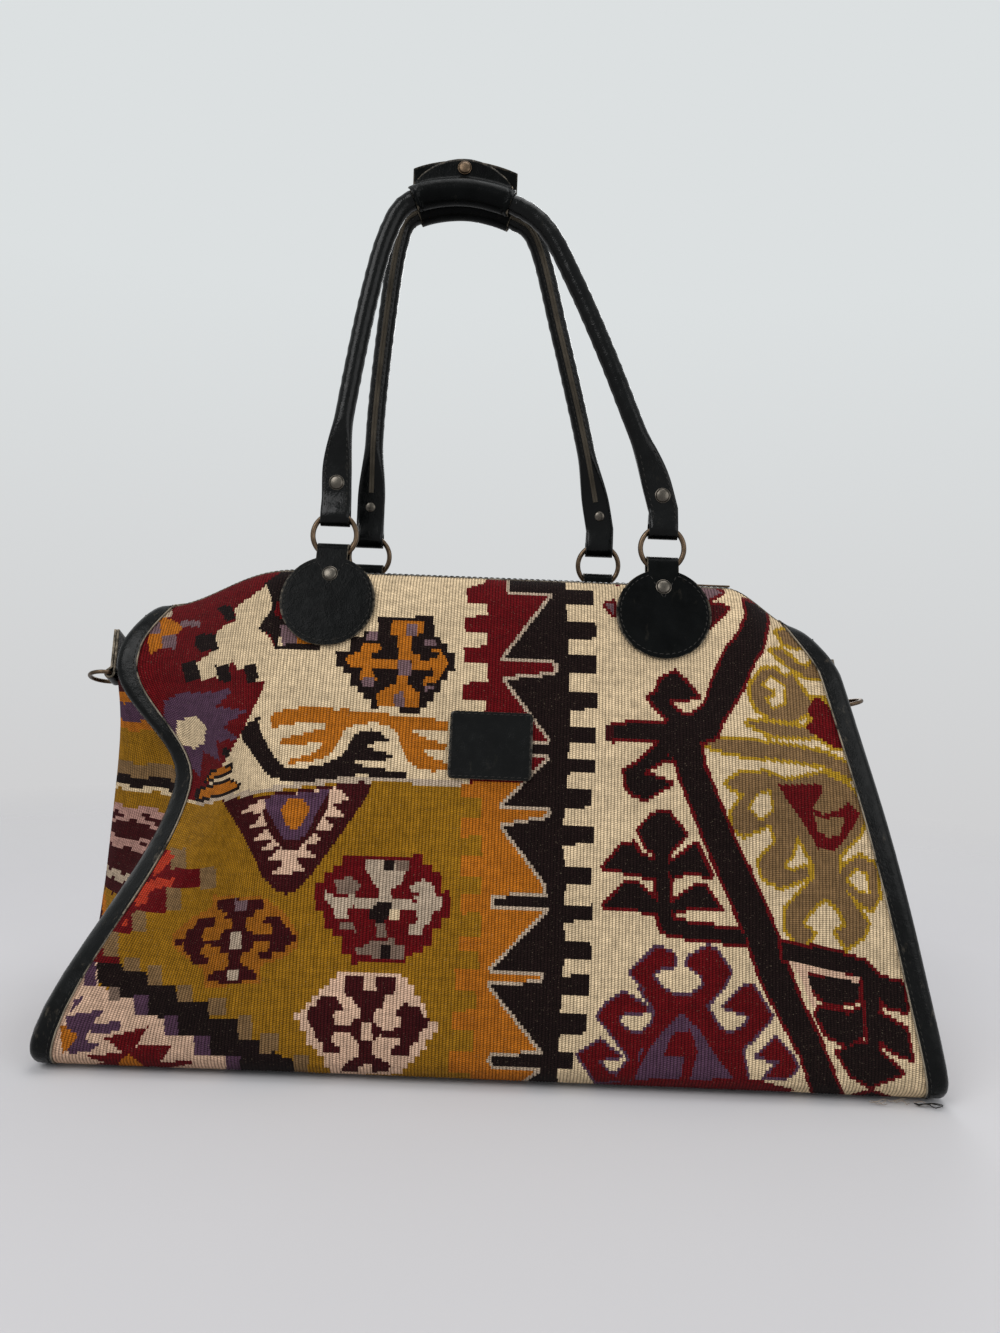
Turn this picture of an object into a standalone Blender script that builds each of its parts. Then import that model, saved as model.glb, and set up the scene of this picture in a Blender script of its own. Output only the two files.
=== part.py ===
"""Kilim duffle bag with leather trim, rolled handles on rings and a zip along the top.

The bag stands on its flat base at z = 0, its length runs along X and its front faces -Y.
One woven panel runs down the front, under the base and up the back. A woven gusset closes
each end, and a leather binding covers each seam. The whole soft body is one outline in YZ,
carried along X, and then slumped the way the old cloth has settled. All sizes are in metres.
"""

import math

import bmesh
import bpy
from mathutils import Matrix, Vector

# The outline of the body in YZ
BODY_HEIGHT = 0.328
BASE_DEPTH = 0.210
BASE_FLAT_DEPTH = 0.150
BASE_WIDEST_HEIGHT = 0.030
SHOULDER_DEPTH = 0.091
SHOULDER_DROP = 0.030
FACE_BOW = 0.0085
MOUTH_WIDTH = 0.042
MOUTH_DROP = 0.002
LIP_WIDTH = 0.0050

# The lengths of the body along X
BASE_LENGTH = 0.579
SHOULDER_LENGTH = 0.509
SHOULDER_LINE_DROP = 0.039
TOP_LENGTH = 0.467
END_BOW = 0.002

# How the soft body hangs out of true
LEAN = 0.095
RIDGE_DROP = 0.027
LEFT_DROP_RUN = 0.112
RIGHT_DROP_RUN = 0.050
PINCH_DEPTH = 0.058
PINCH_HEIGHT = 0.175
PINCH_FADE = 0.085
SHOULDER_FOLD_PUSH = 0.045
SHOULDER_FOLD_WIDTH = 0.100
SLACK = 0.0035

# Sheet materials and the gaps between pieces
KILIM_THICKNESS = 0.0032
BINDING_THICKNESS = 0.0020
STRAP_THICKNESS = 0.0018
KEEPER_THICKNESS = 0.0016
LABEL_THICKNESS = 0.0015
TAPE_THICKNESS = 0.0010
GAP = 0.0003
LAYER_GAP = 0.0005
SEAM_GAP = 0.0011
LAY_GAP = 0.0006

# Bindings and gussets
BINDING_ON_PANEL = 0.0150
BINDING_ON_GUSSET = 0.0090
CORNER_RADIUS = 0.0060
GUSSET_BULGE = 0.0060
GUSSET_SPINE_LOW = 0.090
GUSSET_SPINE_HIGH = 0.265

# The zip
ZIP_SLOT = 0.0150
FACING_THICKNESS = 0.0020
CHAIN_WIDTH = 0.0068
CHAIN_DEPTH = 0.0024
CHAIN_BELOW_TOP = 0.0016
CHAIN_BEAD = 0.0012
TOOTH_PITCH = 0.0120
TOOTH_WIDTH = 0.0053
TAPE_UNDER_FACING = 0.0050
SLIDER_REST_X = 0.128
SLIDER_LENGTH = 0.0150
SLIDER_WIDTH = 0.0100
SLIDER_THICKNESS = 0.0020
BAIL_WIRE = 0.0016
BAIL_SPAN = 0.0068
PULL_LENGTH = 0.0330
PULL_WIDTH = 0.0080
PULL_THICKNESS = 0.0014
PULL_BAR = 0.0014
PULL_HOLE_LENGTH = 0.0056
PULL_HOLE_WIDTH = 0.0034

# Chapes, rings and rivets
FRONT_CHAPE_X = (-0.1236, 0.1064)
BACK_CHAPE_X = (-0.1066, 0.0674)
FRONT_CHAPE_DROP = 0.023
BACK_CHAPE_DROP = 0.031
CHAPE_TOUCH_DROP = 0.020
CHAPE_RADIUS = 0.0325
CHAPE_TAB_WIDTH = 0.0215
CHAPE_LOOP_HEIGHT = 0.0380
CHAPE_TAIL_END = 0.0110
CHAPE_RIVET_HEIGHT = 0.0195
RING_RADIUS = 0.01525
RING_WIRE = 0.0036
RING_CLEARANCE = 0.0003
RIVET_HEAD = 0.0090
RIVET_SHANK = 0.0034
RIVET_DOME = 0.0018
WASHER_THICKNESS = 0.0004

# Handles
HANDLE_DIAMETER = 0.0135
HANDLE_END_WIDTH = 0.0205
HANDLE_TAB_THICKNESS = 0.0054
HANDLE_EYE_WALL = 0.0022
HANDLE_RIVET_HEIGHT = 0.0240
HANDLE_NECK_START = 0.0300
HANDLE_NECK_END = 0.0740
PEAK_HEIGHT = 0.604
PEAK_X = -0.0440
FRONT_LEFT_ARCH = ((0.0, 0.014), (-0.0005, 0.042), (0.0035, 0.080), (0.0150, 0.155), (0.0270, 0.207))
FRONT_RIGHT_ARCH = ((0.0, 0.014), (0.0085, 0.042), (0.0225, 0.075), (0.0440, 0.126),
                    (0.0670, 0.175), (0.0890, 0.214))
BACK_LEFT_ARCH = ((0.0, 0.014), (0.0005, 0.042), (0.0020, 0.094), (0.0080, 0.165), (0.0150, 0.218))
BACK_RIGHT_ARCH = ((0.0, 0.014), (0.0060, 0.042), (0.0185, 0.093), (0.0370, 0.159), (0.0560, 0.222))
ARCH_START = 0.0420
FRONT_ARCH_PEAK = 0.2393
BACK_ARCH_PEAK = 0.2472
CROWN_HALF = 0.0370
CROWN_SAG = 0.0080

# The keeper that gathers the two handles
KEEPER_HALF_LENGTH = 0.0360
KEEPER_FIT = 0.0009
KEEPER_RISE = 0.0300
SNAP_HEIGHT = 0.0215
SNAP_CAP = 0.0100
SNAP_SHANK = 0.0040

# Label patch
LABEL_WIDTH = 0.0550
LABEL_HEIGHT = 0.0436
LABEL_X = -0.0080
LABEL_Z = 0.2125

# Strap rings on the ends
DRING_HEIGHT = BODY_HEIGHT * 0.75
DRING_TAB_WIDTH = 0.0200
DRING_TAB_LENGTH = 0.0340
DRING_WIRE = 0.0030
DRING_WIDTH = 0.0290
DRING_REACH = 0.0190
DRING_RIVET_HEIGHT = 0.0150

# How finely the shapes are divided
PANEL_COLUMNS = 22
COLUMN_CROWDING = 0.85
ROWS_PER_SPAN = (3, 2, 1, 2, 2, 2, 2, 1, 1)
MOUTH_ROWS = 2
BASE_ROWS = 2
TUBE_SIDES = 10
HANDLE_STEPS = 36
CROWN_FINE_STEPS = 12
KEEPER_COLUMNS = 8
HALF_DISC_STEPS = 14
HALF_DISC_CLEAR = 1.8
HALF_DISC_DEPTH = 0.030

FRONT = -1
BACK = 1
LEFT = -1
RIGHT = 1

LEATHER = ("leather", (0.012, 0.012, 0.013, 1.0), 0.42, 0.0)
KILIM = ("kilim", (0.50, 0.38, 0.26, 1.0), 0.90, 0.0)
END_KILIM = ("end_kilim", (0.36, 0.24, 0.12, 1.0), 0.90, 0.0)
TAPE = ("zip_tape", (0.015, 0.015, 0.016, 1.0), 0.85, 0.0)
BRASS = ("antique_brass", (0.20, 0.14, 0.09, 1.0), 0.38, 1.0)
STEEL = ("nickel", (0.42, 0.38, 0.34, 1.0), 0.32, 1.0)


def clear_scene():
    for thing in list(bpy.data.objects):
        bpy.data.objects.remove(thing, do_unlink=True)


def new_collection(name):
    group = bpy.data.collections.new(name)
    bpy.context.scene.collection.children.link(group)
    return group


def material(spec):
    name, colour, roughness, metallic = spec
    found = bpy.data.materials.get(name)
    if found:
        return found
    made = bpy.data.materials.new(name)
    made.use_nodes = True
    shader = made.node_tree.nodes["Principled BSDF"]
    shader.inputs["Base Color"].default_value = colour
    shader.inputs["Roughness"].default_value = roughness
    shader.inputs["Metallic"].default_value = metallic
    made.diffuse_color = colour
    return made


def smooth_step(value):
    value = min(max(value, 0.0), 1.0)
    return value * value * (3.0 - 2.0 * value)


def mix(a, b, share):
    return a + (b - a) * share


def catmull(points, steps):
    """A smooth curve through the points, with steps[i] divisions in span i."""
    count = len(points)
    curve = []
    for index in range(count - 1):
        before = points[max(index - 1, 0)]
        start = points[index]
        end = points[index + 1]
        after = points[min(index + 2, count - 1)]
        for step in range(steps[index]):
            t = step / steps[index]
            curve.append(0.5 * (2.0 * start + (end - before) * t
                                + (2.0 * before - 5.0 * start + 4.0 * end - after) * t * t
                                + (3.0 * start - before - 3.0 * end + after) * t * t * t))
    curve.append(points[-1].copy())
    return curve


# The body's outline and its slump

def outline_guides():
    """Points of the half outline in (y, z), from the flat of the base up to the mouth's edge."""
    widest = Vector((BASE_DEPTH / 2, BASE_WIDEST_HEIGHT))
    shoulder = Vector((SHOULDER_DEPTH / 2, BODY_HEIGHT - SHOULDER_DROP))
    mouth = Vector((MOUTH_WIDTH / 2 + SEAM_GAP, BODY_HEIGHT - MOUTH_DROP))
    foot = Vector((BASE_FLAT_DEPTH / 2, 0.0))
    toe = Vector((mix(foot.x, widest.x, 0.78), BASE_WIDEST_HEIGHT * 0.20))
    guides = [foot, toe, widest]
    for share in (0.28, 0.56, 0.82):
        point = widest.lerp(shoulder, share)
        point.x += FACE_BOW * math.sin(math.pi * share)
        guides.append(point)
    lip = mouth + Vector((LIP_WIDTH, -LIP_WIDTH * 0.12))
    brow = Vector((mix(shoulder.x, lip.x, 0.55), mix(shoulder.y, lip.y, 0.72)))
    return guides + [shoulder, brow, lip, mouth]


def half_outline():
    """The rows of the half outline, from the middle of the base to the mouth's edge."""
    flat = [Vector((BASE_FLAT_DEPTH / 2 * step / BASE_ROWS, 0.0)) for step in range(BASE_ROWS)]
    return flat + catmull(outline_guides(), ROWS_PER_SPAN)


def mouth_height(y):
    """The height of the top between the two mouth edges."""
    share = min(abs(y) / (MOUTH_WIDTH / 2 + SEAM_GAP), 1.0)
    return BODY_HEIGHT - MOUTH_DROP * share * share


def panel_rows():
    """The outline from the front mouth edge, under the base, to the back mouth edge."""
    half = half_outline()
    front = [Vector((-point.x, point.y)) for point in reversed(half)]
    return front + half[1:]


def ring_rows():
    """The outline as a closed loop, with the rows that cross the mouth."""
    rows = panel_rows()
    edge = rows[-1].x
    crossing = []
    for step in range(1, 2 * MOUTH_ROWS):
        y = edge * (1.0 - step / MOUTH_ROWS)
        crossing.append(Vector((y, mouth_height(y))))
    return rows + crossing


def outline_normals(rows, closed):
    """Outward unit normals in YZ, one for each row."""
    normals = []
    count = len(rows)
    for index in range(count):
        if closed:
            before = rows[index - 1]
            after = rows[(index + 1) % count]
        else:
            before = rows[max(index - 1, 0)]
            after = rows[min(index + 1, count - 1)]
        run = after - before
        normals.append(Vector((run.y, -run.x)).normalized())
    return normals


def face_depth(z):
    """Half the body's depth at a height, read from the face of the outline."""
    half = catmull(outline_guides()[2:], [12] * 7)
    for low, high in zip(half, half[1:]):
        if low.y <= z <= high.y:
            return mix(low.x, high.x, (z - low.y) / (high.y - low.y))
    return half[0].x if z < half[0].y else half[-1].x


def half_length(z):
    """Half the body's length at a height."""
    line = BODY_HEIGHT - SHOULDER_LINE_DROP
    if z <= line:
        share = z / line
        return mix(BASE_LENGTH, SHOULDER_LENGTH, share) / 2 + END_BOW * math.sin(math.pi * share)
    share = (z - line) / SHOULDER_LINE_DROP
    return mix(SHOULDER_LENGTH, TOP_LENGTH, share ** 1.5) / 2


def ridge_scale(x):
    """The top edge droops towards both ends, and everything below it is lowered in step."""
    end = TOP_LENGTH / 2
    run = LEFT_DROP_RUN if x < 0 else RIGHT_DROP_RUN
    drop = RIDGE_DROP * smooth_step((abs(x) - (end - run)) / run)
    return (BODY_HEIGHT - drop) / BODY_HEIGHT


def fold_line(z):
    """X of the fold that runs down from the top to the pinch at the left end."""
    top = BODY_HEIGHT
    knee = BODY_HEIGHT * 0.74
    low = PINCH_HEIGHT
    top_x = -0.156
    knee_x = -0.163
    low_x = -0.2015
    if z > knee:
        return mix(knee_x, top_x, (z - knee) / (top - knee))
    return mix(low_x, knee_x, (z - low) / (knee - low))


def slump(point):
    """Moves a point of the true outline to where the soft bag has settled."""
    x, y, z = point
    x -= LEAN * z
    in_front = smooth_step((0.030 - y) / 0.100)
    rise = smooth_step(z / PINCH_HEIGHT) * (1.0 - smooth_step((z - PINCH_HEIGHT) / PINCH_FADE))
    pinch = PINCH_DEPTH * rise * smooth_step((-x - 0.130) / 0.150) * in_front
    near_top = smooth_step((z - 0.240) / 0.060)
    push = SHOULDER_FOLD_PUSH * smooth_step((fold_line(z) - x) / SHOULDER_FOLD_WIDTH)
    side = 1.0 if y > 0 else -1.0
    off_edges = smooth_step((z - 0.020) / 0.060) * smooth_step((0.265 - z) / 0.050)
    wave = math.sin(19.0 * x + 9.0 * z) * math.cos(13.0 * z - 5.0 * x + 0.6)
    belly = SLACK * wave * off_edges * smooth_step(abs(y) / 0.040)
    return Vector((x + pinch, y + push * mix(in_front, 1.0, near_top) + side * belly, z))


def body_point(x, y, z):
    """A point of the body's skin, from its place on the straight, true outline."""
    return slump(Vector((x, y, z * ridge_scale(x))))


# Mesh helpers

def add_object(name, mesh, spec, group):
    made = bpy.data.objects.new(name, mesh)
    group.objects.link(made)
    if spec:
        mesh.materials.clear()
        mesh.materials.append(material(spec))
    return made


def mesh_from(name, bm):
    mesh = bpy.data.meshes.new(name)
    bm.to_mesh(mesh)
    bm.free()
    for face in mesh.polygons:
        face.use_smooth = True
    mesh.set_sharp_from_angle(angle=math.radians(40))
    return mesh


def grid_mesh(name, rows, closed, inside):
    """A sheet through rows of points, turned so that it faces away from the inside point."""
    bm = bmesh.new()
    grid = [[bm.verts.new(point) for point in row] for row in rows]
    bands = list(zip(grid, grid[1:]))
    if closed:
        bands.append((grid[-1], grid[0]))
    for low, high in bands:
        for index in range(len(low) - 1):
            bm.faces.new((low[index], low[index + 1], high[index + 1], high[index]))
    bmesh.ops.remove_doubles(bm, verts=bm.verts, dist=0.00002)
    bm.normal_update()
    facing = 0.0
    for face in bm.faces:
        facing += face.normal.dot(face.calc_center_median() - inside) * face.calc_area()
    if facing < 0:
        bmesh.ops.reverse_faces(bm, faces=bm.faces)
    return mesh_from(name, bm)


def add_thickness(thing, thickness, offset):
    shell = thing.modifiers.new("thickness", "SOLIDIFY")
    shell.thickness = thickness
    shell.offset = offset
    shell.use_even_offset = True
    return shell


def sheet(name, rows, thickness, spec, group, closed=False, offset=-1.0, inside=None):
    """A skin with its thickness laid inwards, or about its middle with offset 0."""
    centre = inside or Vector((0.0, 0.0, BODY_HEIGHT * 0.45))
    made = add_object(name, grid_mesh(name, rows, closed, centre), spec, group)
    add_thickness(made, thickness, offset)
    return made


def cut(thing, cutter):
    made = thing.modifiers.new("cut_" + cutter.name, "BOOLEAN")
    made.operation = "DIFFERENCE"
    made.solver = "EXACT"
    made.object = cutter


def cylinder_cutter(name, radius, length, matrix, cutters, segments=16):
    """A round cutter along its local Z, centred on the matrix, whose flats clear the radius."""
    radius /= math.cos(math.pi / segments)
    bm = bmesh.new()
    bmesh.ops.create_cone(bm, cap_ends=True, segments=segments, radius1=radius,
                          radius2=radius, depth=length)
    made = add_object(name, mesh_from(name, bm), None, cutters)
    made.matrix_world = matrix
    made.hide_render = True
    made.display_type = "WIRE"
    return made


def frame_matrix(origin, x_axis, y_axis, z_axis):
    turned = Matrix((x_axis, y_axis, z_axis)).transposed().to_4x4()
    return Matrix.Translation(origin) @ turned


def place_on(thing, matrix, parent=None):
    if parent:
        thing.parent = parent
        thing.matrix_parent_inverse = parent.matrix_world.inverted()
    thing.matrix_world = matrix


def axis_empty(name, origin, group):
    """An empty on a joint's axis, which carries what turns about it."""
    made = bpy.data.objects.new(name, None)
    group.objects.link(made)
    made.location = origin
    made.empty_display_size = 0.01
    bpy.context.view_layer.update()
    return made


# The woven body

def column_shares():
    """The columns as shares of the half length, crowded towards the ends where the folds are."""
    crowd = COLUMN_CROWDING * math.pi / 2
    steps = [2.0 * step / PANEL_COLUMNS - 1.0 for step in range(PANEL_COLUMNS + 1)]
    return [math.sin(crowd * step) / math.sin(crowd) for step in steps]


def panel_reach(z):
    return half_length(z) - BINDING_ON_PANEL - SEAM_GAP


def make_panel(group):
    rows = []
    for point in panel_rows():
        reach = panel_reach(point.y)
        rows.append([body_point(reach * share, point.x, point.y) for share in column_shares()])
    sheet("kilim_body", rows, KILIM_THICKNESS, KILIM, group)


def inset_point(point, normal, distance, side, bulge=0.0):
    """A point on the end of the body, a distance in from the outline."""
    inner = point - normal * distance
    return side * (half_length(inner.y) + bulge), inner.x, inner.y


def make_binding(name, side, group):
    loop = ring_rows()
    rows = []
    for point, normal in zip(loop, outline_normals(loop, True)):
        end = half_length(point.y)
        row = [body_point(side * (end - BINDING_ON_PANEL), point.x, point.y),
               body_point(side * (end - CORNER_RADIUS), point.x, point.y)]
        cut_corner = CORNER_RADIUS * (1.0 - math.cos(math.radians(45)))
        x, y, z = inset_point(point, normal, cut_corner, side)
        row.append(body_point(x - side * cut_corner, y, z))
        for distance in (CORNER_RADIUS, BINDING_ON_GUSSET):
            row.append(body_point(*inset_point(point, normal, distance, side)))
        rows.append(row)
    sheet(name, rows, BINDING_THICKNESS, LEATHER, group, closed=True)


def make_gusset(name, side, group):
    loop = ring_rows()
    normals = outline_normals(loop, True)
    rows = []
    for point, normal in zip(loop, normals):
        edge = point - normal * (BINDING_ON_GUSSET + SEAM_GAP)
        spine = Vector((0.0, min(max(edge.y, GUSSET_SPINE_LOW), GUSSET_SPINE_HIGH)))
        row = []
        for share in (0.0, 0.18, 0.40, 0.68, 1.0):
            spot = edge.lerp(spine, share)
            reach = half_length(spot.y) + GUSSET_BULGE * smooth_step(share)
            row.append(body_point(side * reach, spot.x, spot.y))
        rows.append(row)
    sheet(name, rows, KILIM_THICKNESS, END_KILIM, group, closed=True)


# The zip along the top

def mouth_point(share, y, depth):
    """A point of the top at a share of the half length, a depth below the skin."""
    def skin(along, across):
        z = mouth_height(across)
        return body_point(panel_reach(z) * along, across, z)
    step = 0.01
    along = skin(share + step, y) - skin(share - step, y)
    across = skin(share, y + 0.001) - skin(share, y - 0.001)
    return skin(share, y) - along.cross(across).normalized() * depth


def mouth_sheet(name, side, inner, outer, depth, thickness, spec, group):
    """A strip along one edge of the mouth, a depth below the top."""
    rows = [[mouth_point(share, side * y, depth) for y in (inner, outer)]
            for share in column_shares()]
    sheet(name, rows, thickness, spec, group)


def make_zip_edges(group):
    tape_depth = FACING_THICKNESS + LAYER_GAP
    tape_inner = CHAIN_WIDTH / 2 + LAYER_GAP
    for word, side in (("front", FRONT), ("back", BACK)):
        mouth_sheet("zip_facing_" + word, side, ZIP_SLOT / 2, MOUTH_WIDTH / 2, 0.0,
                    FACING_THICKNESS, LEATHER, group)
        mouth_sheet("zip_tape_" + word, side, tape_inner, ZIP_SLOT / 2 + TAPE_UNDER_FACING,
                    tape_depth, TAPE_THICKNESS, TAPE, group)


def make_teeth(group):
    """Each side of the chain is a comb: a bead with teeth that fill the other side's gaps."""
    reach = panel_reach(BODY_HEIGHT)
    pairs = int(2 * reach / TOOTH_PITCH - 1.0)
    start = -pairs * TOOTH_PITCH / 2
    bead = CHAIN_WIDTH / 2
    shares = column_shares()

    def chain_point(x, y):
        share = x / reach
        index = max(i for i in range(PANEL_COLUMNS) if shares[i] <= share)
        part = (share - shares[index]) / (shares[index + 1] - shares[index])
        ends = [mouth_point(shares[i], y, CHAIN_BELOW_TOP) for i in (index, index + 1)]
        return ends[0].lerp(ends[1], part)

    for word, side, phase in (("front", FRONT, 0.0), ("back", BACK, 0.5)):
        bm = bmesh.new()
        columns = []
        for index in range(pairs):
            tooth = start + (index + phase) * TOOTH_PITCH
            columns += [tooth, tooth + TOOTH_WIDTH]
        lines = []
        for x in columns:
            lines.append([bm.verts.new(chain_point(x, side * y))
                          for y in (bead, bead - CHAIN_BEAD, CHAIN_BEAD - bead + GAP)])
        for index, (low, high) in enumerate(zip(lines, lines[1:])):
            bm.faces.new((low[0], low[1], high[1], high[0]))
            if index % 2 == 0:
                bm.faces.new((low[1], low[2], high[2], high[1]))
        loose = [vert for vert in bm.verts if not vert.link_faces]
        bmesh.ops.delete(bm, geom=loose, context="VERTS")
        bmesh.ops.recalc_face_normals(bm, faces=bm.faces)
        bm.normal_update()
        if sum(face.normal.z for face in bm.faces) < 0:
            bmesh.ops.reverse_faces(bm, faces=bm.faces)
        made = add_object("zip_teeth_" + word, mesh_from("zip_teeth_" + word, bm), BRASS, group)
        add_thickness(made, CHAIN_DEPTH, -1.0)


def curve_tube(name, points, diameter, cyclic, resolution=2):
    """A mesh tube along straight spans, with welded caps."""
    data = bpy.data.curves.new(name, "CURVE")
    data.dimensions = "3D"
    data.bevel_depth = diameter / 2
    data.bevel_resolution = resolution
    data.use_fill_caps = True
    spline = data.splines.new("POLY")
    spline.points.add(len(points) - 1)
    for slot, point in zip(spline.points, points):
        slot.co = (point[0], point[1], point[2], 1.0)
    spline.use_cyclic_u = cyclic
    guide = bpy.data.objects.new(name + "_path", data)
    bpy.context.scene.collection.objects.link(guide)
    bpy.context.view_layer.update()
    shape = guide.evaluated_get(bpy.context.evaluated_depsgraph_get())
    mesh = bpy.data.meshes.new_from_object(shape)
    bpy.data.objects.remove(guide, do_unlink=True)
    bpy.data.curves.remove(data)
    bm = bmesh.new()
    bm.from_mesh(mesh)
    bpy.data.meshes.remove(mesh)
    bmesh.ops.remove_doubles(bm, verts=bm.verts, dist=0.00002)
    bmesh.ops.recalc_face_normals(bm, faces=bm.faces)
    return mesh_from(name, bm)


def box_bmesh(low, high):
    bm = bmesh.new()
    bmesh.ops.create_cube(bm, size=1.0)
    low = Vector(low)
    high = Vector(high)
    for vert in bm.verts:
        vert.co = Vector([mix(low[i], high[i], vert.co[i] + 0.5) for i in range(3)])
    return bm


def add_bevel(thing, width, segments=1):
    made = thing.modifiers.new("soft_edges", "BEVEL")
    made.width = width
    made.segments = segments
    made.limit_method = "ANGLE"
    made.angle_limit = math.radians(40)


def pull_axis():
    """The middle of the bail, which the pull turns about."""
    top = BODY_HEIGHT - CHAIN_BELOW_TOP + GAP + SLIDER_THICKNESS
    return Vector((SLIDER_REST_X, 0.0, top + GAP + PULL_BAR / 2))


def make_slider(group, cutters):
    """The slider's upper plate with its bail. It rides just above the closed chain."""
    axis = pull_axis()
    low = BODY_HEIGHT - CHAIN_BELOW_TOP + GAP - axis.z
    top = low + SLIDER_THICKNESS
    plate = add_object("zip_slider", mesh_from("zip_slider", box_bmesh(
        (-SLIDER_LENGTH / 2, -SLIDER_WIDTH / 2, low),
        (SLIDER_LENGTH / 2, SLIDER_WIDTH / 2, top))), BRASS, group)
    add_bevel(plate, 0.0006)
    legs = BAIL_SPAN / 2
    crown = PULL_BAR / 2 + GAP + BAIL_WIRE / 2
    points = [(-legs, 0.0, top - SLIDER_THICKNESS / 2), (-legs, 0.0, 0.0),
              (-legs * 0.6, 0.0, crown), (legs * 0.6, 0.0, crown),
              (legs, 0.0, 0.0), (legs, 0.0, top - SLIDER_THICKNESS / 2)]
    bail = add_object("slider_bail", curve_tube("slider_bail", points, BAIL_WIRE, False),
                      None, cutters)
    bail.hide_render = True
    bail.display_type = "WIRE"
    join = plate.modifiers.new("bail", "BOOLEAN")
    join.operation = "UNION"
    join.solver = "EXACT"
    join.object = bail
    bail.location = axis
    plate.location = axis


def make_pull(group, cutters):
    """The pull is a plate with a window at one end, and the bar beyond it sits in the bail."""
    axis = pull_axis()
    half = PULL_THICKNESS / 2
    start = -PULL_BAR / 2
    pull = add_object("zip_pull", mesh_from("zip_pull", box_bmesh(
        (start, -PULL_WIDTH / 2, -half), (start + PULL_LENGTH, PULL_WIDTH / 2, half))), BRASS, group)
    window = add_object("pull_window", mesh_from("pull_window", box_bmesh(
        (PULL_BAR / 2, -PULL_HOLE_WIDTH / 2, -4 * half),
        (PULL_BAR / 2 + PULL_HOLE_LENGTH, PULL_HOLE_WIDTH / 2, 4 * half))), None, cutters)
    window.hide_render = True
    window.display_type = "WIRE"
    cut(pull, window)
    add_bevel(pull, 0.0003)
    window.location = axis
    place_on(pull, Matrix.Translation(axis), axis_empty("zip_pull_axis", axis, group))


# Straps, rings and rivets

def loop_fit(tab_width):
    """The inner radius of a loop that the ring's curved wire can turn in, and its place.

    The second value is the distance from the ring's centre to the loop's axis.
    """
    outer = RING_RADIUS + RING_WIRE / 2
    inner = math.sqrt((RING_RADIUS - RING_WIRE / 2) ** 2 - (tab_width / 2) ** 2)
    return (outer - inner) / 2 + RING_CLEARANCE, (outer + inner) / 2


def fold_path(loop_inner, thickness, height, tail_end, start, side):
    """A strap's middle line in (normal, up): up the face, round the loop, and down again."""
    radius = loop_inner + thickness / 2
    behind = thickness + GAP
    low = height - 1.6 * radius
    to_tail = Vector((radius - behind, low - height))
    angle = math.atan2(to_tail.y, to_tail.x) + 2.0 * math.pi
    leave = angle - math.acos(radius / to_tail.length)
    path = [Vector((0.0, v)) for v in start]
    steps = 8
    for step in range(steps + 1):
        turn = leave * step / steps
        path.append(Vector((-radius + radius * math.cos(turn), height + radius * math.sin(turn))))
    path += [Vector((-behind, low)), Vector((-behind, mix(low, tail_end, 0.5))),
             Vector((-behind, tail_end))]
    return [Vector((side * point.x, point.y)) for point in path]


def strap(name, path, widths, thickness, matrix, group, columns=2):
    """A strip of leather along a path in (normal, up), with its own half width at each point."""
    rows = []
    for point, width in zip(path, widths):
        rows.append([matrix @ Vector((width * (2.0 * step / columns - 1.0), point.x, point.y))
                     for step in range(columns + 1)])
    return sheet(name, rows, thickness, LEATHER, group, offset=0.0,
                 inside=matrix @ Vector((0.0, 0.02, 0.0)))


def chape_frame(x, drop, side):
    """Origin and axes of a chape: its disc's centre, lying on the face's tangent."""
    centre_z = BODY_HEIGHT - drop
    touch_z = centre_z - CHAPE_TOUCH_DROP
    step = 0.004
    low = Vector((0.0, side * face_depth(touch_z - step), touch_z - step))
    high = Vector((0.0, side * face_depth(touch_z + step), touch_z + step))
    up = (high - low).normalized()
    out = Vector((0.0, side * up.z, -side * up.y))
    touch = Vector((x, side * face_depth(touch_z), touch_z))
    origin = touch + up * (CHAPE_TOUCH_DROP / up.z) + out * (LAY_GAP + STRAP_THICKNESS / 2)
    return origin + out * washer_lift(origin, up, out, side), up, out


def washer_lift(origin, up, out, side):
    """How far a chape has to stand off a more bowed face, so that its rivet's washer clears it."""
    spot = origin + up * (CHAPE_RIVET_HEIGHT - RIVET_HEAD / 2)
    face = Vector((0.0, side * face_depth(spot.z), spot.z))
    washer = 1.5 * STRAP_THICKNESS + 2 * GAP + WASHER_THICKNESS
    return max((face - Vector((0.0, spot.y, spot.z))).dot(out) + washer, 0.0)


def chape_matrix(x, drop, side):
    origin, up, out = chape_frame(x, drop, side)
    return frame_matrix(origin, Vector((1.0, 0.0, 0.0)), out, up)


def chape_loop(x, drop, side):
    """The middle of a chape's loop, which the ring turns about."""
    origin, up, out = chape_frame(x, drop, side)
    inner = loop_fit(CHAPE_TAB_WIDTH)[0]
    return origin + up * CHAPE_LOOP_HEIGHT - out * (inner + STRAP_THICKNESS / 2)


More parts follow.
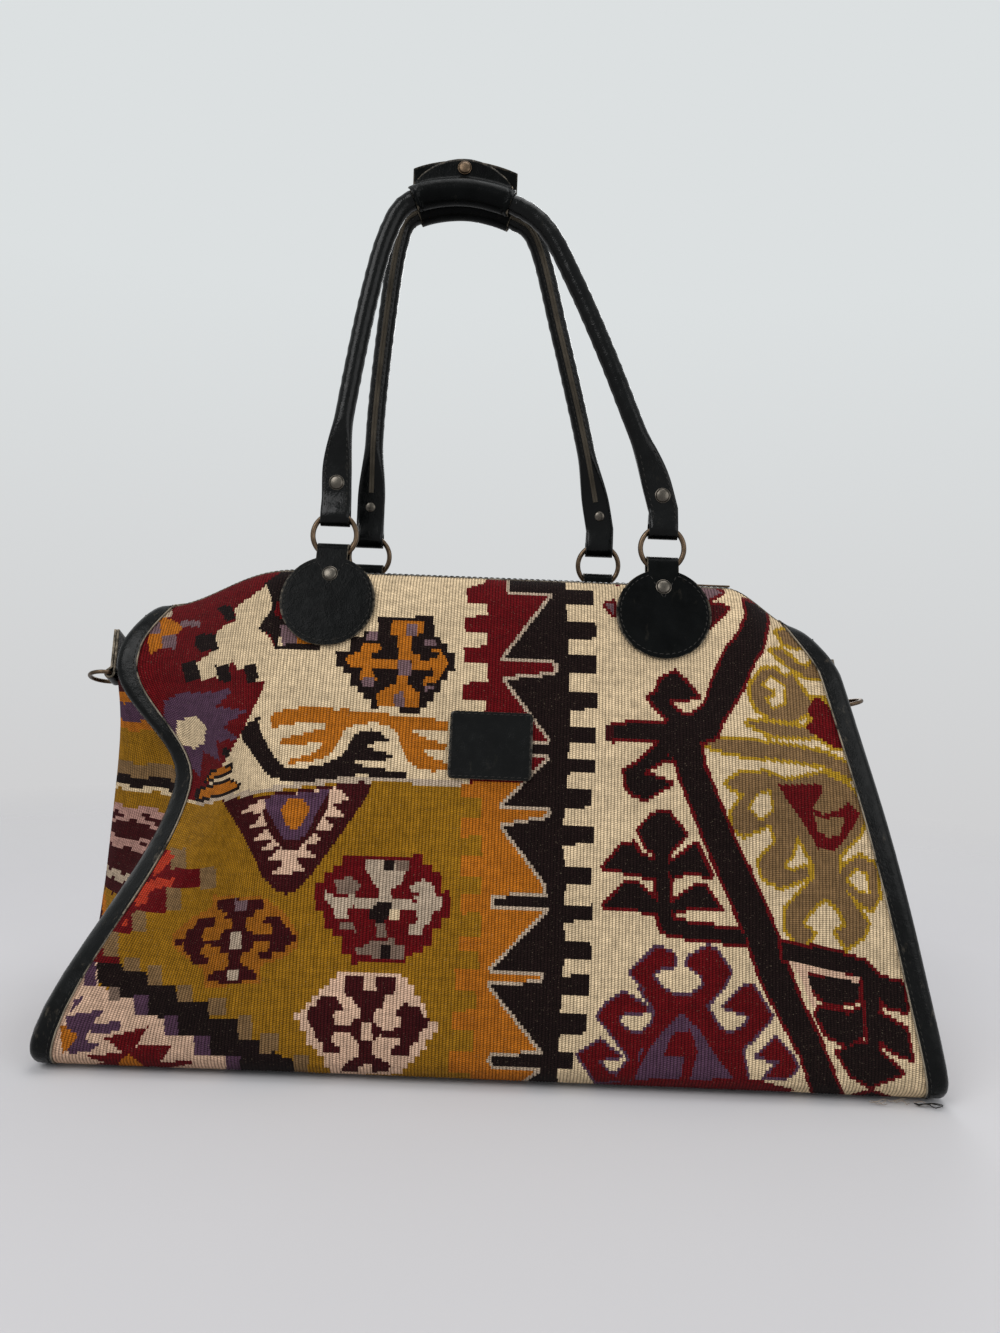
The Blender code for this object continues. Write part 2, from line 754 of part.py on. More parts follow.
def make_chape(name, x, drop, side, group, cutters):
    matrix = chape_matrix(x, drop, side)
    tab = CHAPE_TAB_WIDTH / 2
    first = 0.10
    last = math.pi - math.asin(tab / CHAPE_RADIUS)
    turns = [mix(first, last, step / 10) for step in range(11)]
    start = [-CHAPE_RADIUS * math.cos(turn) for turn in turns] + [CHAPE_LOOP_HEIGHT]
    inner = loop_fit(CHAPE_TAB_WIDTH)[0]
    path = fold_path(inner, STRAP_THICKNESS, CHAPE_LOOP_HEIGHT, CHAPE_TAIL_END, start[:-1], 1)
    widths = [CHAPE_RADIUS * math.sin(turn) for turn in turns]
    widths += [tab] * (len(path) - len(widths))
    made = strap(name, path, widths, STRAP_THICKNESS, matrix, group)
    hole = matrix @ Matrix.Translation((0.0, 0.0, CHAPE_RIVET_HEIGHT)) @ Matrix.Rotation(
        math.pi / 2, 4, "X")
    cut(made, cylinder_cutter(name + "_hole", RIVET_SHANK / 2 + GAP, 0.02, hole, cutters, 12))
    front = STRAP_THICKNESS / 2 + GAP
    back = -(1.5 * STRAP_THICKNESS + 2 * GAP)
    make_rivet(name.replace("chape", "chape_rivet"), matrix, CHAPE_RIVET_HEIGHT, front, back, group)


def turned(name, profile, steps, matrix, spec, group):
    """A turned piece from a profile of (radius, height), top to bottom, about local Z."""
    bm = bmesh.new()
    verts = [bm.verts.new((radius, 0.0, height)) for radius, height in profile]
    for low, high in zip(verts, verts[1:]):
        bm.edges.new((low, high))
    made = add_object(name, mesh_from(name, bm), spec, group)
    screw = made.modifiers.new("turn", "SCREW")
    screw.steps = steps
    screw.render_steps = steps
    screw.use_merge_vertices = True
    screw.merge_threshold = 0.00001
    screw.use_smooth_shade = True
    made.matrix_world = matrix
    return made


def make_rivet(name, matrix, height, front, back, group):
    """A domed head on each face and a shank through the hole between them."""
    head = RIVET_HEAD / 2
    shank = RIVET_SHANK / 2
    profile = ((0.0, front + RIVET_DOME), (head * 0.62, front + RIVET_DOME * 0.8), (head, front),
               (shank, front), (shank, back), (head * 0.8, back),
               (head * 0.7, back - WASHER_THICKNESS), (0.0, back - WASHER_THICKNESS))
    turned_frame = matrix @ Matrix.Translation((0.0, 0.0, height)) @ Matrix.Rotation(
        -math.pi / 2, 4, "X")
    return turned(name, profile, 10, turned_frame, STEEL, group)


def handle_lean(loop, side):
    """The angle at which ring and handle lean in, so that the tops of the keepers just meet."""
    wrap = HANDLE_DIAMETER / 2 + KEEPER_FIT + KEEPER_THICKNESS
    lean = 0.0
    for _ in range(4):
        tube_y = side * (wrap + KEEPER_RISE * math.sin(abs(lean)) + GAP)
        lean = math.atan2(tube_y - loop.y, PEAK_HEIGHT - loop.z)
    return lean


def make_ring(name, loop, lean, group):
    up = Vector((0.0, math.sin(lean), math.cos(lean)))
    centre = loop + up * loop_fit(CHAPE_TAB_WIDTH)[1]
    bpy.ops.mesh.primitive_torus_add(major_radius=RING_RADIUS, minor_radius=RING_WIRE / 2,
                                     major_segments=20, minor_segments=6)
    made = bpy.context.object
    for owner in list(made.users_collection):
        owner.objects.unlink(made)
    group.objects.link(made)
    made.name = name
    made.data.name = name
    made.data.materials.append(material(BRASS))
    made.data.shade_smooth()
    turn = Matrix.Rotation(math.pi / 2 - lean, 4, "X")
    place_on(made, Matrix.Translation(centre) @ turn, axis_empty(name + "_axis", loop, group))


def ring_to_eye():
    """How far the handle's eye lies from the chape's loop, along the ring."""
    return loop_fit(CHAPE_TAB_WIDTH)[1] + loop_fit(HANDLE_END_WIDTH)[1]


# Handles

def fitted_arch(arch, drawn_peak, peak):
    """An arch whose part above the flat ends stretches from its drawn peak to the real one."""
    stretch = (peak.y - ARCH_START) / (drawn_peak - ARCH_START)
    return [(dx, height + max(height - ARCH_START, 0.0) * (stretch - 1.0)) for dx, height in arch]


def handle_line(arches, ends, peak):
    """The handle's middle line in its own plane, from the left eye to the right one."""
    left, right = arches
    points = [Vector((ends[0] + dx, height)) for dx, height in left]
    points += [Vector((peak.x - CROWN_HALF, peak.y - CROWN_SAG)), peak,
               Vector((peak.x + CROWN_HALF, peak.y - CROWN_SAG))]
    points += [Vector((ends[1] - dx, height)) for dx, height in reversed(right)]
    return catmull(points, [16] * (len(points) - 1))


def run_lengths(line):
    """The length of a line up to each of its points."""
    lengths = [0.0]
    for start, end in zip(line, line[1:]):
        lengths.append(lengths[-1] + (end - start).length)
    return lengths


def points_at(line, targets):
    """Points of a line at the given lengths along it."""
    lengths = run_lengths(line)
    points = []
    index = 0
    for target in targets:
        while index < len(line) - 2 and lengths[index + 1] < target:
            index += 1
        span = lengths[index + 1] - lengths[index]
        points.append(line[index].lerp(line[index + 1], (target - lengths[index]) / span))
    return points


def resample(line, count):
    total = run_lengths(line)[-1]
    return points_at(line, [total * step / count for step in range(count + 1)])


def handle_stations(line, peak):
    """Stations along the handle, closer together under the keeper, where it bends most."""
    lengths = run_lengths(line)
    middle = lengths[min(range(len(line)), key=lambda i: (line[i] - peak).length)]
    zone = KEEPER_HALF_LENGTH * 1.25
    total = lengths[-1]
    before = round(HANDLE_STEPS * (middle - zone) / total)
    after = round(HANDLE_STEPS * (total - middle - zone) / total)
    targets = [(middle - zone) * step / before for step in range(before)]
    targets += [middle - zone + 2.0 * zone * step / CROWN_FINE_STEPS
                for step in range(CROWN_FINE_STEPS)]
    targets += [mix(middle + zone, total, step / after) for step in range(after + 1)]
    return points_at(line, targets)


def handle_section(height):
    """Half width, half thickness and squareness of the handle, a distance up from its eye."""
    eye = loop_fit(HANDLE_END_WIDTH)[0] + HANDLE_EYE_WALL
    tube = HANDLE_DIAMETER / 2
    tab = HANDLE_TAB_THICKNESS / 2
    if height < 0:
        low = math.sqrt(max(eye * eye - height * height, 0.0))
        return HANDLE_END_WIDTH / 2, max(low, 0.0012), 7.0
    neck = smooth_step((height - HANDLE_NECK_START) / (HANDLE_NECK_END - HANDLE_NECK_START))
    thick = mix(eye, tab, smooth_step(height / (2.4 * eye)))
    return (mix(HANDLE_END_WIDTH / 2, tube, neck), mix(thick, tube, neck), mix(7.0, 2.0, neck))


def section_ring(half_width, half_thickness, squareness):
    ring = []
    for step in range(TUBE_SIDES):
        turn = 2.0 * math.pi * (step + 0.5) / TUBE_SIDES
        wide = abs(math.cos(turn)) ** (2.0 / squareness)
        thick = abs(math.sin(turn)) ** (2.0 / squareness)
        ring.append((math.copysign(half_width * wide, math.cos(turn)),
                     math.copysign(half_thickness * thick, math.sin(turn))))
    return ring


def make_handle(name, arches, ends, matrix, peak, group, cutters):
    eye = loop_fit(HANDLE_END_WIDTH)[0] + HANDLE_EYE_WALL
    line = handle_stations(handle_line(arches, ends, peak), peak)
    low = line[0].y
    below = [-eye * 0.985, -eye * 0.8, -eye * 0.4, 0.0, low * 0.45, low * 0.8]
    stations = [(Vector((ends[0], height)), height) for height in below]
    total = sum((b - a).length for a, b in zip(line, line[1:]))
    run = 0.0
    for index, point in enumerate(line):
        if index:
            run += (point - line[index - 1]).length
        stations.append((point, low + min(run, total - run)))
    stations += [(Vector((ends[1], height)), height) for height in reversed(below)]
    bm = bmesh.new()
    rings = []
    for index, (point, height) in enumerate(stations):
        before = stations[max(index - 1, 0)][0]
        after = stations[min(index + 1, len(stations) - 1)][0]
        along = (after - before).normalized()
        across = Vector((along.y, -along.x))
        ring = []
        for wide, thick in section_ring(*handle_section(height)):
            spot = point + across * wide
            ring.append(bm.verts.new((spot.x, thick, spot.y)))
        rings.append(ring)
    for low_ring, high_ring in zip(rings, rings[1:]):
        for index in range(TUBE_SIDES):
            after = (index + 1) % TUBE_SIDES
            bm.faces.new((low_ring[index], low_ring[after], high_ring[after], high_ring[index]))
    bm.faces.new(rings[0])
    bm.faces.new(rings[-1])
    bmesh.ops.recalc_face_normals(bm, faces=bm.faces)
    made = add_object(name, mesh_from(name, bm), LEATHER, group)
    for word, x in (("left", ends[0]), ("right", ends[1])):
        here = matrix @ Matrix.Translation((x, 0.0, 0.0))
        across = here @ Matrix.Rotation(math.pi / 2, 4, "Y")
        cut(made, cylinder_cutter(name + "_eye_" + word, loop_fit(HANDLE_END_WIDTH)[0],
                                  HANDLE_END_WIDTH * 1.4, across, cutters, 16))
        dx = arches[0][1][0] if word == "left" else -arches[1][1][0]
        share = smooth_step((HANDLE_RIVET_HEIGHT - low) / (arches[0][1][1] - low))
        spot = matrix @ Matrix.Translation((x + dx * share * 0.5, 0.0, 0.0))
        hole = spot @ Matrix.Translation((0.0, 0.0, HANDLE_RIVET_HEIGHT)) @ Matrix.Rotation(
            math.pi / 2, 4, "X")
        cut(made, cylinder_cutter(name + "_hole_" + word, RIVET_SHANK / 2 + GAP, 0.02, hole,
                                  cutters, 12))
        reach = HANDLE_TAB_THICKNESS / 2 + GAP
        make_rivet(name.replace("handle", "handle_rivet") + "_" + word, spot,
                   HANDLE_RIVET_HEIGHT, reach, -reach, group)
    return made


def keeper_layers():
    """The keeper's inner and outer layers in (depth, rise), both from under the tube."""
    inner = HANDLE_DIAMETER / 2 + KEEPER_FIT + KEEPER_THICKNESS / 2
    flat = inner - KEEPER_THICKNESS - GAP
    near = [Vector((inner * math.cos(turn), -inner * math.sin(turn)))
            for turn in [math.radians(degrees) for degrees in range(90, -1, -10)]]
    near.append(Vector((inner, KEEPER_RISE)))
    far = [Vector((inner * math.cos(math.radians(degrees)), -inner * math.sin(math.radians(degrees))))
           for degrees in range(90, 241, 10)]
    slope = Vector((math.sin(math.radians(60)), math.cos(math.radians(60))))
    run = (flat - far[-1].x) / slope.x
    far.append(far[-1] + slope * run * 0.85)
    far.append(Vector((flat, far[-2].y + slope.y * run * 1.25)))
    far.append(Vector((flat, KEEPER_RISE)))
    return near, far


def half_disc_cutter(name, matrix, peak, cutters):
    """What lies outside the half disc that the front keeper is cut to."""
    inner = (KEEPER_HALF_LENGTH + GAP, KEEPER_RISE + CROWN_SAG)
    bm = bmesh.new()
    rings = []
    for step in range(HALF_DISC_STEPS + 1):
        turn = math.pi * step / HALF_DISC_STEPS
        ring = []
        for scale, y in ((1.0, -HALF_DISC_DEPTH), (1.0, HALF_DISC_DEPTH),
                         (HALF_DISC_CLEAR, HALF_DISC_DEPTH), (HALF_DISC_CLEAR, -HALF_DISC_DEPTH)):
            ring.append(bm.verts.new((peak.x + inner[0] * scale * math.cos(turn), y,
                                      peak.y - CROWN_SAG + inner[1] * scale * math.sin(turn))))
        rings.append(ring)
    for low, high in zip(rings, rings[1:]):
        for index in range(4):
            after = (index + 1) % 4
            bm.faces.new((low[index], low[after], high[after], high[index]))
    bm.faces.new(rings[0])
    bm.faces.new(rings[-1])
    bmesh.ops.recalc_face_normals(bm, faces=bm.faces)
    made = add_object(name, mesh_from(name, bm), None, cutters)
    made.matrix_world = matrix
    made.hide_render = True
    made.display_type = "WIRE"
    return made


def make_keeper(name, arches, ends, matrix, peak, side, group):
    """A leather wrap round one handle's crown, folded under it and closed above it."""
    line = resample(handle_line(arches, ends, peak), 240)
    centre = min(range(len(line)), key=lambda i: (line[i] - peak).length)
    step_length = (line[1] - line[0]).length
    near, far = keeper_layers()
    section = list(reversed(resample(near, 6))) + resample(far, 11)[1:]
    rows = []
    for column in range(KEEPER_COLUMNS + 1):
        share = math.sin(math.pi * (column / KEEPER_COLUMNS - 0.5))
        index = centre + round(KEEPER_HALF_LENGTH * share / step_length)
        along = (line[index + 1] - line[index - 1]).normalized()
        up = Vector((-along.y, along.x))
        row = []
        for spot in section:
            place = line[index] + up * spot.y
            row.append(matrix @ Vector((place.x, -side * spot.x, place.y)))
        rows.append(row)
    middle = matrix @ Vector((peak.x, 0.0, peak.y))
    return sheet(name, rows, KEEPER_THICKNESS, LEATHER, group, offset=0.0, inside=middle)


def make_snap(name, matrix, peak, side, keeper, group, cutters):
    """Half of the press stud: a domed cap outside, and a shank through the keeper's layers."""
    inner = HANDLE_DIAMETER / 2 + KEEPER_FIT + KEEPER_THICKNESS / 2
    face = inner - 1.5 * KEEPER_THICKNESS - 2 * GAP
    here = matrix @ Matrix.Translation((peak.x, 0.0, peak.y + SNAP_HEIGHT))
    mate = abs(here.translation.y) - GAP
    turn = Matrix.Rotation(side * -math.pi / 2, 4, "X")
    cutter = cylinder_cutter(name + "_hole", SNAP_SHANK / 2 + GAP, 0.03, here @ turn, cutters, 12)
    cut(keeper, cutter)
    cap = SNAP_CAP / 2
    shank = SNAP_SHANK / 2
    dome = RIVET_DOME
    profile = ((0.0, dome - face), (cap * 0.6, dome * 0.8 - face), (cap, dome * 0.25 - face),
               (cap, -face), (shank, -face), (shank, -mate), (0.0, -mate))
    return turned(name, profile, 12, here @ turn, STEEL, group)


def make_side(word, side, chape_x, drop, drawn_arches, drawn_peak, group, cutters):
    """Chapes, rings, handle and keeper on the front or the back."""
    for side_word, x in zip(("left", "right"), chape_x):
        make_chape("chape_" + word + "_" + side_word, x, drop, side, group, cutters)
    loop = chape_loop(0.0, drop, side)
    lean = handle_lean(loop, side)
    for side_word, x in zip(("left", "right"), chape_x):
        spot = Vector((x, loop.y, loop.z))
        make_ring("ring_" + word + "_" + side_word, spot, lean, group)
    up = Vector((0.0, math.sin(lean), math.cos(lean)))
    eye = Vector((0.0, loop.y, loop.z)) + up * ring_to_eye()
    matrix = Matrix.Translation(eye) @ Matrix.Rotation(-lean, 4, "X")
    peak = Vector((PEAK_X, (PEAK_HEIGHT - eye.z) / math.cos(lean)))
    arches = [fitted_arch(arch, drawn_peak, peak) for arch in drawn_arches]
    name = word + "_handle"
    handle = make_handle(name, arches, chape_x, matrix, peak, group, cutters)
    place_on(handle, matrix, axis_empty(name + "_axis", eye, group))
    keeper = make_keeper(word + "_keeper", arches, chape_x, matrix, peak, side, group)
    if side == FRONT:
        cut(keeper, half_disc_cutter("half_disc", matrix, peak, cutters))
    snap = "snap_cap" if side == FRONT else "snap_stud"
    make_snap(snap, matrix, peak, side, keeper, group, cutters)


# Label and strap rings

def make_label(group):
    columns = 6
    levels = 5
    rows = []
    for level in range(levels + 1):
        z = LABEL_Z + LABEL_HEIGHT * (level / levels - 0.5)
        row = []
        for column in range(columns + 1):
            x = LABEL_X + LABEL_WIDTH * (column / columns - 0.5)
            row.append(face_spot(x, z, LAY_GAP + LABEL_THICKNESS))
        rows.append(row)
    sheet("label_patch", rows, LABEL_THICKNESS, LEATHER, group)


def face_spot(x, z, out):
    """A point off the front face at a final x and height, a distance out along its normal."""
    straight = x + LEAN * z
    here = body_point(straight, -face_depth(z), z)
    step = 0.004
    above = body_point(straight, -face_depth(z + step), z + step)
    beside = body_point(straight + step, -face_depth(z), z)
    normal = (beside - here).cross(above - here).normalized()
    return here + normal * out


def end_frame(side):
    """Origin and axes on the middle line of a gusset, where the strap ring's tab is sewn."""
    def spot(y, z):
        reach = half_length(z) + GUSSET_BULGE
        return body_point(side * reach, y, z)
    high = DRING_HEIGHT * BODY_HEIGHT / (BODY_HEIGHT - RIDGE_DROP)
    step = 0.004
    here = spot(0.0, high)
    up = (spot(0.0, high + step) - spot(0.0, high - step)).normalized()
    across = (spot(step, high) - spot(-step, high)).normalized()
    out = up.cross(across).normalized()
    if out.x * side < 0:
        out = -out
    across = out.cross(up)
    return here, up, out, across


def make_strap_ring(word, side, group, cutters):
    """A folded tab on the gusset with a D ring in its lower loop.

    The gusset's facets lie inside its true curve here, so the tab needs no gap of its own.
    """
    here, up, out, across = end_frame(side)
    inner = DRING_WIRE / 2 + LAY_GAP
    origin = here + out * STRAP_THICKNESS / 2
    matrix = frame_matrix(origin, across, out, -up)
    start = [-DRING_TAB_LENGTH, -DRING_TAB_LENGTH * 0.5]
    radius = inner + STRAP_THICKNESS / 2
    path = fold_path(inner, STRAP_THICKNESS, 0.0, -DRING_TAB_LENGTH, start + [0.0], -1)
    widths = [DRING_TAB_WIDTH / 2] * len(path)
    name = "dring_tab_" + word
    made = strap(name, path[:2] + path[3:], widths, STRAP_THICKNESS, matrix, group)
    rivet_at = -DRING_RIVET_HEIGHT - DRING_TAB_WIDTH * 0.2
    hole = matrix @ Matrix.Translation((0.0, 0.0, rivet_at)) @ Matrix.Rotation(math.pi / 2, 4, "X")
    cut(made, cylinder_cutter(name + "_hole", RIVET_SHANK / 2 + GAP, 0.02, hole, cutters, 12))
    front = 1.5 * STRAP_THICKNESS + 2 * GAP
    make_flat_rivet("dring_rivet_" + word, matrix, rivet_at, front, group)
    axis = origin + out * radius
    bar = DRING_WIDTH / 2 - DRING_WIRE / 2
    reach = DRING_REACH - DRING_WIRE
    points = [Vector((bar * (1.0 - step), 0.0, 0.0)) for step in range(3)]
    for step in range(11):
        turn = math.pi * step / 10
        points.append(Vector((-bar * math.cos(turn), reach * (0.25 + 0.75 * math.sin(turn)), 0.0)))
    spine = [across * point.x + out * point.y for point in points]
    ring = add_object("dring_" + word, curve_tube("dring_" + word, spine, DRING_WIRE, True),
                      BRASS, group)
    place_on(ring, Matrix.Translation(axis), axis_empty("dring_" + word + "_axis", axis, group))


def make_flat_rivet(name, matrix, height, front, group):
    """A rivet whose washer lies flush in the tab's inner layer."""
    head = RIVET_HEAD / 2
    shank = RIVET_SHANK / 2
    back = -STRAP_THICKNESS / 2
    profile = ((0.0, front + RIVET_DOME), (head * 0.62, front + RIVET_DOME * 0.8), (head, front),
               (shank, front), (shank, back), (0.0, back))
    turned_frame = matrix @ Matrix.Translation((0.0, 0.0, height)) @ Matrix.Rotation(
        -math.pi / 2, 4, "X")
    return turned(name, profile, 10, turned_frame, STEEL, group)


def main():
    clear_scene()
    group = new_collection("kilim_duffle_bag")
    cutters = new_collection("cutters")
    make_panel(group)
    for word, side in (("left", LEFT), ("right", RIGHT)):
        make_binding(word + "_binding", side, group)
        make_gusset(word + "_gusset", side, group)
        make_strap_ring(word, side, group, cutters)
    make_zip_edges(group)
    make_teeth(group)
    make_slider(group, cutters)
    make_pull(group, cutters)
    make_side("front", FRONT, FRONT_CHAPE_X, FRONT_CHAPE_DROP,
              (FRONT_LEFT_ARCH, FRONT_RIGHT_ARCH), FRONT_ARCH_PEAK, group, cutters)
    make_side("back", BACK, BACK_CHAPE_X, BACK_CHAPE_DROP,
              (BACK_LEFT_ARCH, BACK_RIGHT_ARCH), BACK_ARCH_PEAK, group, cutters)
    make_label(group)


main()
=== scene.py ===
"""The looks of the kilim duffle bag: woven skins, stitched leather, metal, and a plain stage.

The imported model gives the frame, and every piece here rides on one of its bodies. The shape
functions repeat those of the part's source, so each skin lies where its solid lies.
"""
import functools
import math
import random

import bmesh
import bpy
import numpy as np
from mathutils import Matrix, Vector


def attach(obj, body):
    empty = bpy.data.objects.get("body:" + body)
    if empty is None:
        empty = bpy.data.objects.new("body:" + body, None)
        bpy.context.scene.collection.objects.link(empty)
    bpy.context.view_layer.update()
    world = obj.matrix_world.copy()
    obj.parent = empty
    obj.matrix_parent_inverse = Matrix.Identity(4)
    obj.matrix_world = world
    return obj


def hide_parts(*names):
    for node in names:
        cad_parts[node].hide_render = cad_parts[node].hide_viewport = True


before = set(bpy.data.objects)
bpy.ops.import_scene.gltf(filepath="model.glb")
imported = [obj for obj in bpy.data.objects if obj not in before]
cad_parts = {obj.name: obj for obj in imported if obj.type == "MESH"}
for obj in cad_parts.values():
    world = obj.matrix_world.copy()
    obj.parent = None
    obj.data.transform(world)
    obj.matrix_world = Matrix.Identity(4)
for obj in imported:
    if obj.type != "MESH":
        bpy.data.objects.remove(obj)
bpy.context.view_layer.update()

bl_info = {
    "name": "Kilim duffle bag",
    "version": (1, 0, 0),
    "blender": (4, 5, 0),
    "location": "3D View > Sidebar > Duffle",
    "description": "Dresses the packed duffle bag in kilim, leather and metal",
    "category": "Object",
}

# Sizes in metres, as in the part's source

# The outline of the body in YZ
BODY_HEIGHT = 0.328
BASE_DEPTH = 0.210
BASE_FLAT_DEPTH = 0.150
BASE_WIDEST_HEIGHT = 0.030
SHOULDER_DEPTH = 0.091
SHOULDER_DROP = 0.030
FACE_BOW = 0.0085
MOUTH_WIDTH = 0.042
MOUTH_DROP = 0.002
LIP_WIDTH = 0.0050

# The lengths of the body along X
BASE_LENGTH = 0.579
SHOULDER_LENGTH = 0.509
SHOULDER_LINE_DROP = 0.039
TOP_LENGTH = 0.467
END_BOW = 0.002

# How the soft body hangs out of true
LEAN = 0.095
RIDGE_DROP = 0.027
LEFT_DROP_RUN = 0.112
RIGHT_DROP_RUN = 0.050
PINCH_DEPTH = 0.058
PINCH_HEIGHT = 0.175
PINCH_FADE = 0.085
SHOULDER_FOLD_PUSH = 0.045
SHOULDER_FOLD_WIDTH = 0.100
FRONT_FROM = 0.030
FRONT_FADE = 0.100
PINCH_FROM = 0.130
PINCH_RUN = 0.150
NEAR_TOP_FROM = 0.240
NEAR_TOP_RUN = 0.060
FOLD_KNEE = 0.74
FOLD_TOP_X = -0.156
FOLD_KNEE_X = -0.163
FOLD_LOW_X = -0.2015
SLACK = 0.0035

# Sheet materials and the gaps between pieces
BINDING_THICKNESS = 0.0020
STRAP_THICKNESS = 0.0018
KEEPER_THICKNESS = 0.0016
LABEL_THICKNESS = 0.0015
TAPE_THICKNESS = 0.0010
GAP = 0.0003
LAYER_GAP = 0.0005
SEAM_GAP = 0.0011
LAY_GAP = 0.0006

# Bindings and gussets
BINDING_ON_PANEL = 0.0150
BINDING_ON_GUSSET = 0.0090
CORNER_RADIUS = 0.0060
GUSSET_BULGE = 0.0060
GUSSET_SPINE_LOW = 0.090
GUSSET_SPINE_HIGH = 0.265

# The zip
ZIP_SLOT = 0.0150
FACING_THICKNESS = 0.0020
CHAIN_WIDTH = 0.0068
CHAIN_BELOW_TOP = 0.0016
TAPE_UNDER_FACING = 0.0050

# Chapes, rings and rivets
FRONT_CHAPE_X = (-0.1236, 0.1064)
BACK_CHAPE_X = (-0.1066, 0.0674)
FRONT_CHAPE_DROP = 0.023
BACK_CHAPE_DROP = 0.031
CHAPE_TOUCH_DROP = 0.020
CHAPE_RADIUS = 0.0325
CHAPE_TAB_WIDTH = 0.0215
CHAPE_LOOP_HEIGHT = 0.0380
CHAPE_TAIL_END = 0.0110
CHAPE_RIVET_HEIGHT = 0.0195
RING_RADIUS = 0.01525
RING_WIRE = 0.0036
RING_CLEARANCE = 0.0003
RIVET_HEAD = 0.0090
RIVET_SHANK = 0.0034
RIVET_DOME = 0.0018
WASHER_THICKNESS = 0.0004

# Handles
HANDLE_DIAMETER = 0.0135
HANDLE_END_WIDTH = 0.0205
HANDLE_TAB_THICKNESS = 0.0054
HANDLE_EYE_WALL = 0.0022
HANDLE_RIVET_HEIGHT = 0.0240
HANDLE_NECK_START = 0.0300
HANDLE_NECK_END = 0.0740
PEAK_HEIGHT = 0.604
PEAK_X = -0.0440
FRONT_LEFT_ARCH = ((0.0, 0.014), (-0.0005, 0.042), (0.0035, 0.080), (0.0150, 0.155), (0.0270, 0.207))
FRONT_RIGHT_ARCH = ((0.0, 0.014), (0.0085, 0.042), (0.0225, 0.075), (0.0440, 0.126),
                    (0.0670, 0.175), (0.0890, 0.214))
BACK_LEFT_ARCH = ((0.0, 0.014), (0.0005, 0.042), (0.0020, 0.094), (0.0080, 0.165), (0.0150, 0.218))
BACK_RIGHT_ARCH = ((0.0, 0.014), (0.0060, 0.042), (0.0185, 0.093), (0.0370, 0.159), (0.0560, 0.222))
ARCH_START = 0.0420
FRONT_ARCH_PEAK = 0.2393
BACK_ARCH_PEAK = 0.2472
CROWN_HALF = 0.0370
CROWN_SAG = 0.0080

# The keeper that gathers the two handles
KEEPER_HALF_LENGTH = 0.0360
KEEPER_FIT = 0.0009
KEEPER_RISE = 0.0300
SNAP_HEIGHT = 0.0215
SNAP_CAP = 0.0100
SNAP_SHANK = 0.0040

# Label patch
LABEL_WIDTH = 0.0550
LABEL_HEIGHT = 0.0436
LABEL_X = -0.0080
LABEL_Z = 0.2125

# Strap rings on the ends
DRING_HEIGHT = BODY_HEIGHT * 0.75
DRING_TAB_WIDTH = 0.0200
DRING_TAB_LENGTH = 0.0340
DRING_WIRE = 0.0030
DRING_WIDTH = 0.0290
DRING_REACH = 0.0190
DRING_RIVET_HEIGHT = 0.0150

# How finely the shapes are divided
PANEL_COLUMNS = 72
COLUMN_CROWDING = 0.85
ROWS_PER_SPAN = (9, 8, 4, 9, 9, 8, 8, 5, 4)
MOUTH_ROWS = 6
BASE_ROWS = 10
FOLD_STEPS = 16
TUBE_SIDES = 24
HANDLE_STEPS = 130
CROWN_FINE_STEPS = 36

FRONT = -1
BACK = 1
LEFT = -1
RIGHT = 1

# The kilim's pattern

# Each shape is a colour and the x, y pairs of its corners in the photograph's frame of 1000 x 1333.
# A shape with four numbers is an upright rectangle. Later shapes cover earlier ones.

MIDDLE_COLUMN = (
    ("dark_red", 487, 573, 560, 577, 560, 782, 470, 782, 470, 712, 486, 711, 486, 700, 463, 700, 463,
     683, 488, 680, 487, 664, 464, 662, 464, 647, 487, 645, 487, 631, 465, 630, 465, 617, 488, 614, 487,
     603, 467, 601, 467, 587, 486, 582),
    ("orange", 461, 782, 461, 797, 481, 797, 481, 816, 461, 816, 461, 836, 482, 836, 482, 855, 461, 855,
     461, 875, 481, 875, 481, 893, 461, 893, 461, 913, 481, 913, 481, 935, 459, 935, 459, 952, 479, 952,
     479, 968, 455, 968, 455, 990, 476, 990, 476, 1010, 452, 1010, 452, 1030, 473, 1030, 473, 1052, 449,
     1052, 449, 1073, 470, 1073, 470, 1096, 556, 1096, 556, 782),
    ("dark_red", 483, 776, 517, 782), ("dark_red", 535, 734, 550, 742), ("dark_red", 536, 755, 550, 764),
)
ZIGZAG = (
    510, 570, 510, 590, 551, 592, 552, 596, 504, 658, 552, 659, 558, 663, 558, 671, 552, 675, 506, 679,
    553, 742, 536, 744, 500, 746, 500, 754, 536, 754, 552, 756, 503, 805, 548, 806, 552, 811, 548, 818,
    503, 826, 546, 884, 547, 896, 494, 897, 494, 906, 546, 906, 549, 910, 492, 969, 541, 971, 545, 976,
    541, 983, 490, 985, 543, 1052, 543, 1055, 494, 1055, 490, 1060, 494, 1066, 541, 1067, 541, 1071,
    512, 1092)
COMB = (
    (1085, 1093, 581, 557), (1051, 1068, 573, 558), (1013, 1033, 586, 560), (975, 995, 589, 562),
    (940, 958, 591, 565), (904, 921, 592, 564), (866, 884, 591, 566), (826, 844, 594, 562),
    (789, 807, 592, 566), (758, 773, 595, 568), (727, 742, 596, 570), (691, 709, 597, 570),
    (655, 673, 596, 569), (621, 638, 596, 568), (589, 605, 594, 566))
COMB_TOP = (566, 570)
